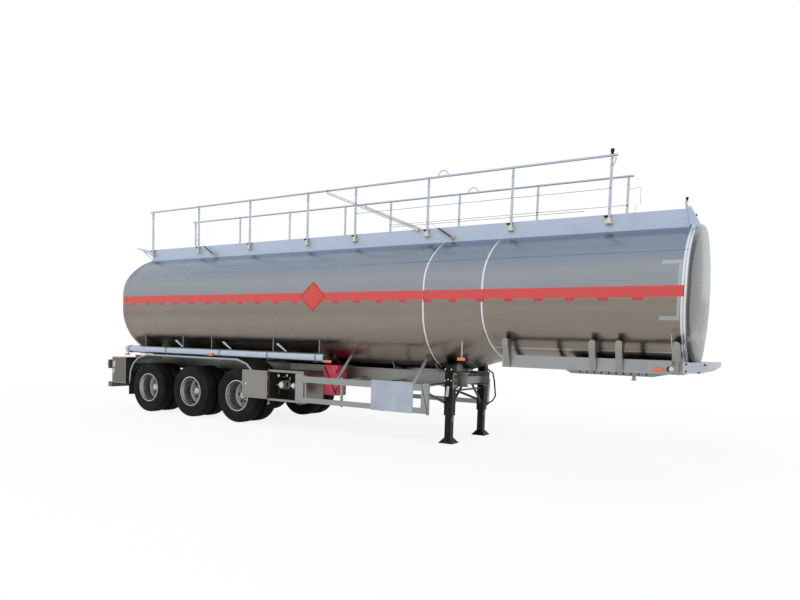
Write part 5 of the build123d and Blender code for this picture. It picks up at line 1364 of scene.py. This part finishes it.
class TANKER_OT_stage(bpy.types.Operator):
    """Makes the floor, the soft lamps, the white surroundings and the camera"""
    bl_idname = "tanker.stage"
    bl_label = "Stage"

    def execute(self, context):
        look = context.scene.tanker_stage
        self.floor(context)
        self.lamps(context, look)
        self.surroundings(context, look)
        self.camera(context, look)
        context.scene.view_settings.view_transform = "Standard"
        return {"FINISHED"}

    def floor(self, context):
        t = np.array([-1.0, 1.0]) * 60
        grid = np.stack(np.meshgrid(t, t, indexing="ij"), axis=-1)
        rings = np.concatenate([grid, np.full((2, 2, 1), -0.002)], axis=-1)
        verts, groups = loft(rings, closed=False, ends=False)
        mesh = bpy.data.meshes.new("floor")
        mesh.from_pydata(verts.tolist(), [], groups[0][:, ::-1].tolist())
        floor = bpy.data.objects.new("floor", mesh)
        context.scene.collection.objects.link(floor)
        finish = Finish("floor_pale", (0.80, 0.80, 0.80), 0.9)
        path = finish.node("ShaderNodeLightPath")
        outs = path.socket.node.outputs
        x, y, _ = finish.axes()
        reach = ((x * 0.8) * (x * 0.8) + y * y).math("SQRT", (x * 0.8) * (x * 0.8) + y * y)
        seen = Value(finish, outs["Is Camera Ray"]) * reach.ramp(3.0, 14.0, 0.86, 1.0)
        mirror = Value(finish, outs["Is Glossy Ray"]) * 0.45
        seen = seen.most(mirror)
        glow = finish.node("ShaderNodeEmission", {}, {"Color": (1.0, 1.0, 1.0, 1.0), "Strength": 1.0})
        both = finish.node("ShaderNodeMixShader", {}, {0: seen, 2: glow})
        finish.tree.links.new(finish.shader.outputs[0], both.socket.node.inputs[1])
        finish.tree.links.new(both.socket, finish.tree.nodes["Material Output"].inputs["Surface"])
        mesh.materials.append(finish.material)

    def lamps(self, context, look):
        for name, place, aim, size, power in (
                ("key_lamp", (3.0, -16.0, 14.0), (0.0, 0.0, 2.0), 9.0, 2600.0),
                ("rear_lamp", (-16.0, -7.0, 11.0), (-2.0, 0.0, 2.0), 8.0, 1200.0),
                ("far_lamp", (4.0, 15.0, 13.0), (0.0, 0.0, 2.0), 9.0, 1400.0)):
            lamp = bpy.data.lights.new(name, "AREA")
            lamp.shape, lamp.size, lamp.energy = "DISK", size, power * look.lamp_strength
            made = bpy.data.objects.new(name, lamp)
            made.location = place
            made.visible_glossy = False
            made.rotation_euler = (Vector(aim) - Vector(place)).to_track_quat("-Z", "Y").to_euler()
            context.scene.collection.objects.link(made)

    def surroundings(self, context, look):
        """Plain white where a camera, a reflection or a clear pane looks, else an even cool light."""
        world = bpy.data.worlds.new("surroundings")
        world.use_nodes = True
        tree = world.node_tree
        tree.nodes.clear()
        path = tree.nodes.new("ShaderNodeLightPath")
        seen = path.outputs["Is Camera Ray"]
        for ray in ("Is Glossy Ray", "Is Transmission Ray"):
            either = tree.nodes.new("ShaderNodeMath")
            either.operation = "MAXIMUM"
            tree.links.new(seen, either.inputs[0])
            tree.links.new(path.outputs[ray], either.inputs[1])
            seen = either.outputs[0]
        mix = tree.nodes.new("ShaderNodeMixShader")
        tree.links.new(seen, mix.inputs[0])
        skies = ((0.90, 0.95, 1.0, 1.0), look.sky_strength), ((1.0, 1.0, 1.0, 1.0), 1.0)
        for side, (colour, strength) in enumerate(skies, 1):
            sky = tree.nodes.new("ShaderNodeBackground")
            sky.inputs["Color"].default_value = colour
            sky.inputs["Strength"].default_value = strength
            tree.links.new(sky.outputs[0], mix.inputs[side])
        out = tree.nodes.new("ShaderNodeOutputWorld")
        tree.links.new(mix.outputs[0], out.inputs["Surface"])
        context.scene.world = world

    def camera(self, context, look):
        """The photograph's camera: its place, yaw, pitch and roll, found from straight edges in it."""
        place = (REAR_AXLE + 11.4821, -9.6463, 1.5729)
        yaw, pitch, roll = math.radians(30.014), math.radians(-3.469), math.radians(1.852)
        level = Vector((-math.sin(yaw), math.cos(yaw), 0.0))
        right = Vector((math.cos(yaw), math.sin(yaw), 0.0))
        ahead = level * math.cos(pitch) + Vector((0, 0, math.sin(pitch)))
        up = Vector((0, 0, math.cos(pitch))) - level * math.sin(pitch)
        across = right * math.cos(roll) + up * math.sin(roll)
        rise = up * math.cos(roll) - right * math.sin(roll)
        lens = bpy.data.cameras.new("camera")
        lens.sensor_width, lens.lens = 36.0, look.focal
        lens.shift_x, lens.shift_y = -0.0205, 0.1046
        lens.clip_start, lens.clip_end = 0.1, 200.0
        made = bpy.data.objects.new("camera", lens)
        turn = Matrix((across, rise, -ahead)).transposed()
        made.matrix_world = Matrix.Translation(place) @ turn.to_4x4()
        context.scene.collection.objects.link(made)
        context.scene.camera = made


OPERATORS = (TANKER_OT_finishes, TANKER_OT_tank, TANKER_OT_tyres, TANKER_OT_wheel_nuts, TANKER_OT_handrails,
             TANKER_OT_walkway, TANKER_OT_side_fittings, TANKER_OT_cabinets, TANKER_OT_landing_gear,
             TANKER_OT_front_frame, TANKER_OT_rear_end, TANKER_OT_running_gear, TANKER_OT_stage)
SETTINGS = (TankLook, WheelLook, RailLook, StageLook)


class TANKER_PT_panel(bpy.types.Panel):
    """Lists the pieces in the order in which they are made"""
    bl_label = "Tank semitrailer"
    bl_idname = "TANKER_PT_panel"
    bl_space_type = "VIEW_3D"
    bl_region_type = "UI"
    bl_category = "Tanker"

    def draw(self, context):
        for operator in OPERATORS:
            self.layout.operator(operator.bl_idname)


def register():
    for kind in (*SETTINGS, *OPERATORS, TANKER_PT_panel):
        bpy.utils.register_class(kind)
    bpy.types.Scene.tanker_tank = PointerProperty(type=TankLook)
    bpy.types.Scene.tanker_wheels = PointerProperty(type=WheelLook)
    bpy.types.Scene.tanker_rails = PointerProperty(type=RailLook)
    bpy.types.Scene.tanker_stage = PointerProperty(type=StageLook)


def unregister():
    del bpy.types.Scene.tanker_stage, bpy.types.Scene.tanker_rails, bpy.types.Scene.tanker_wheels
    del bpy.types.Scene.tanker_tank
    for kind in reversed((*SETTINGS, *OPERATORS, TANKER_PT_panel)):
        bpy.utils.unregister_class(kind)


def main():
    register()
    for name in list(bpy.data.objects.keys()):
        if name in ("Cube", "Light", "Camera"):
            bpy.data.objects.remove(bpy.data.objects[name])
    for operator in OPERATORS:
        group, name = operator.bl_idname.split(".")
        getattr(getattr(bpy.ops, group), name)()


if __name__ == "__main__":
    main()
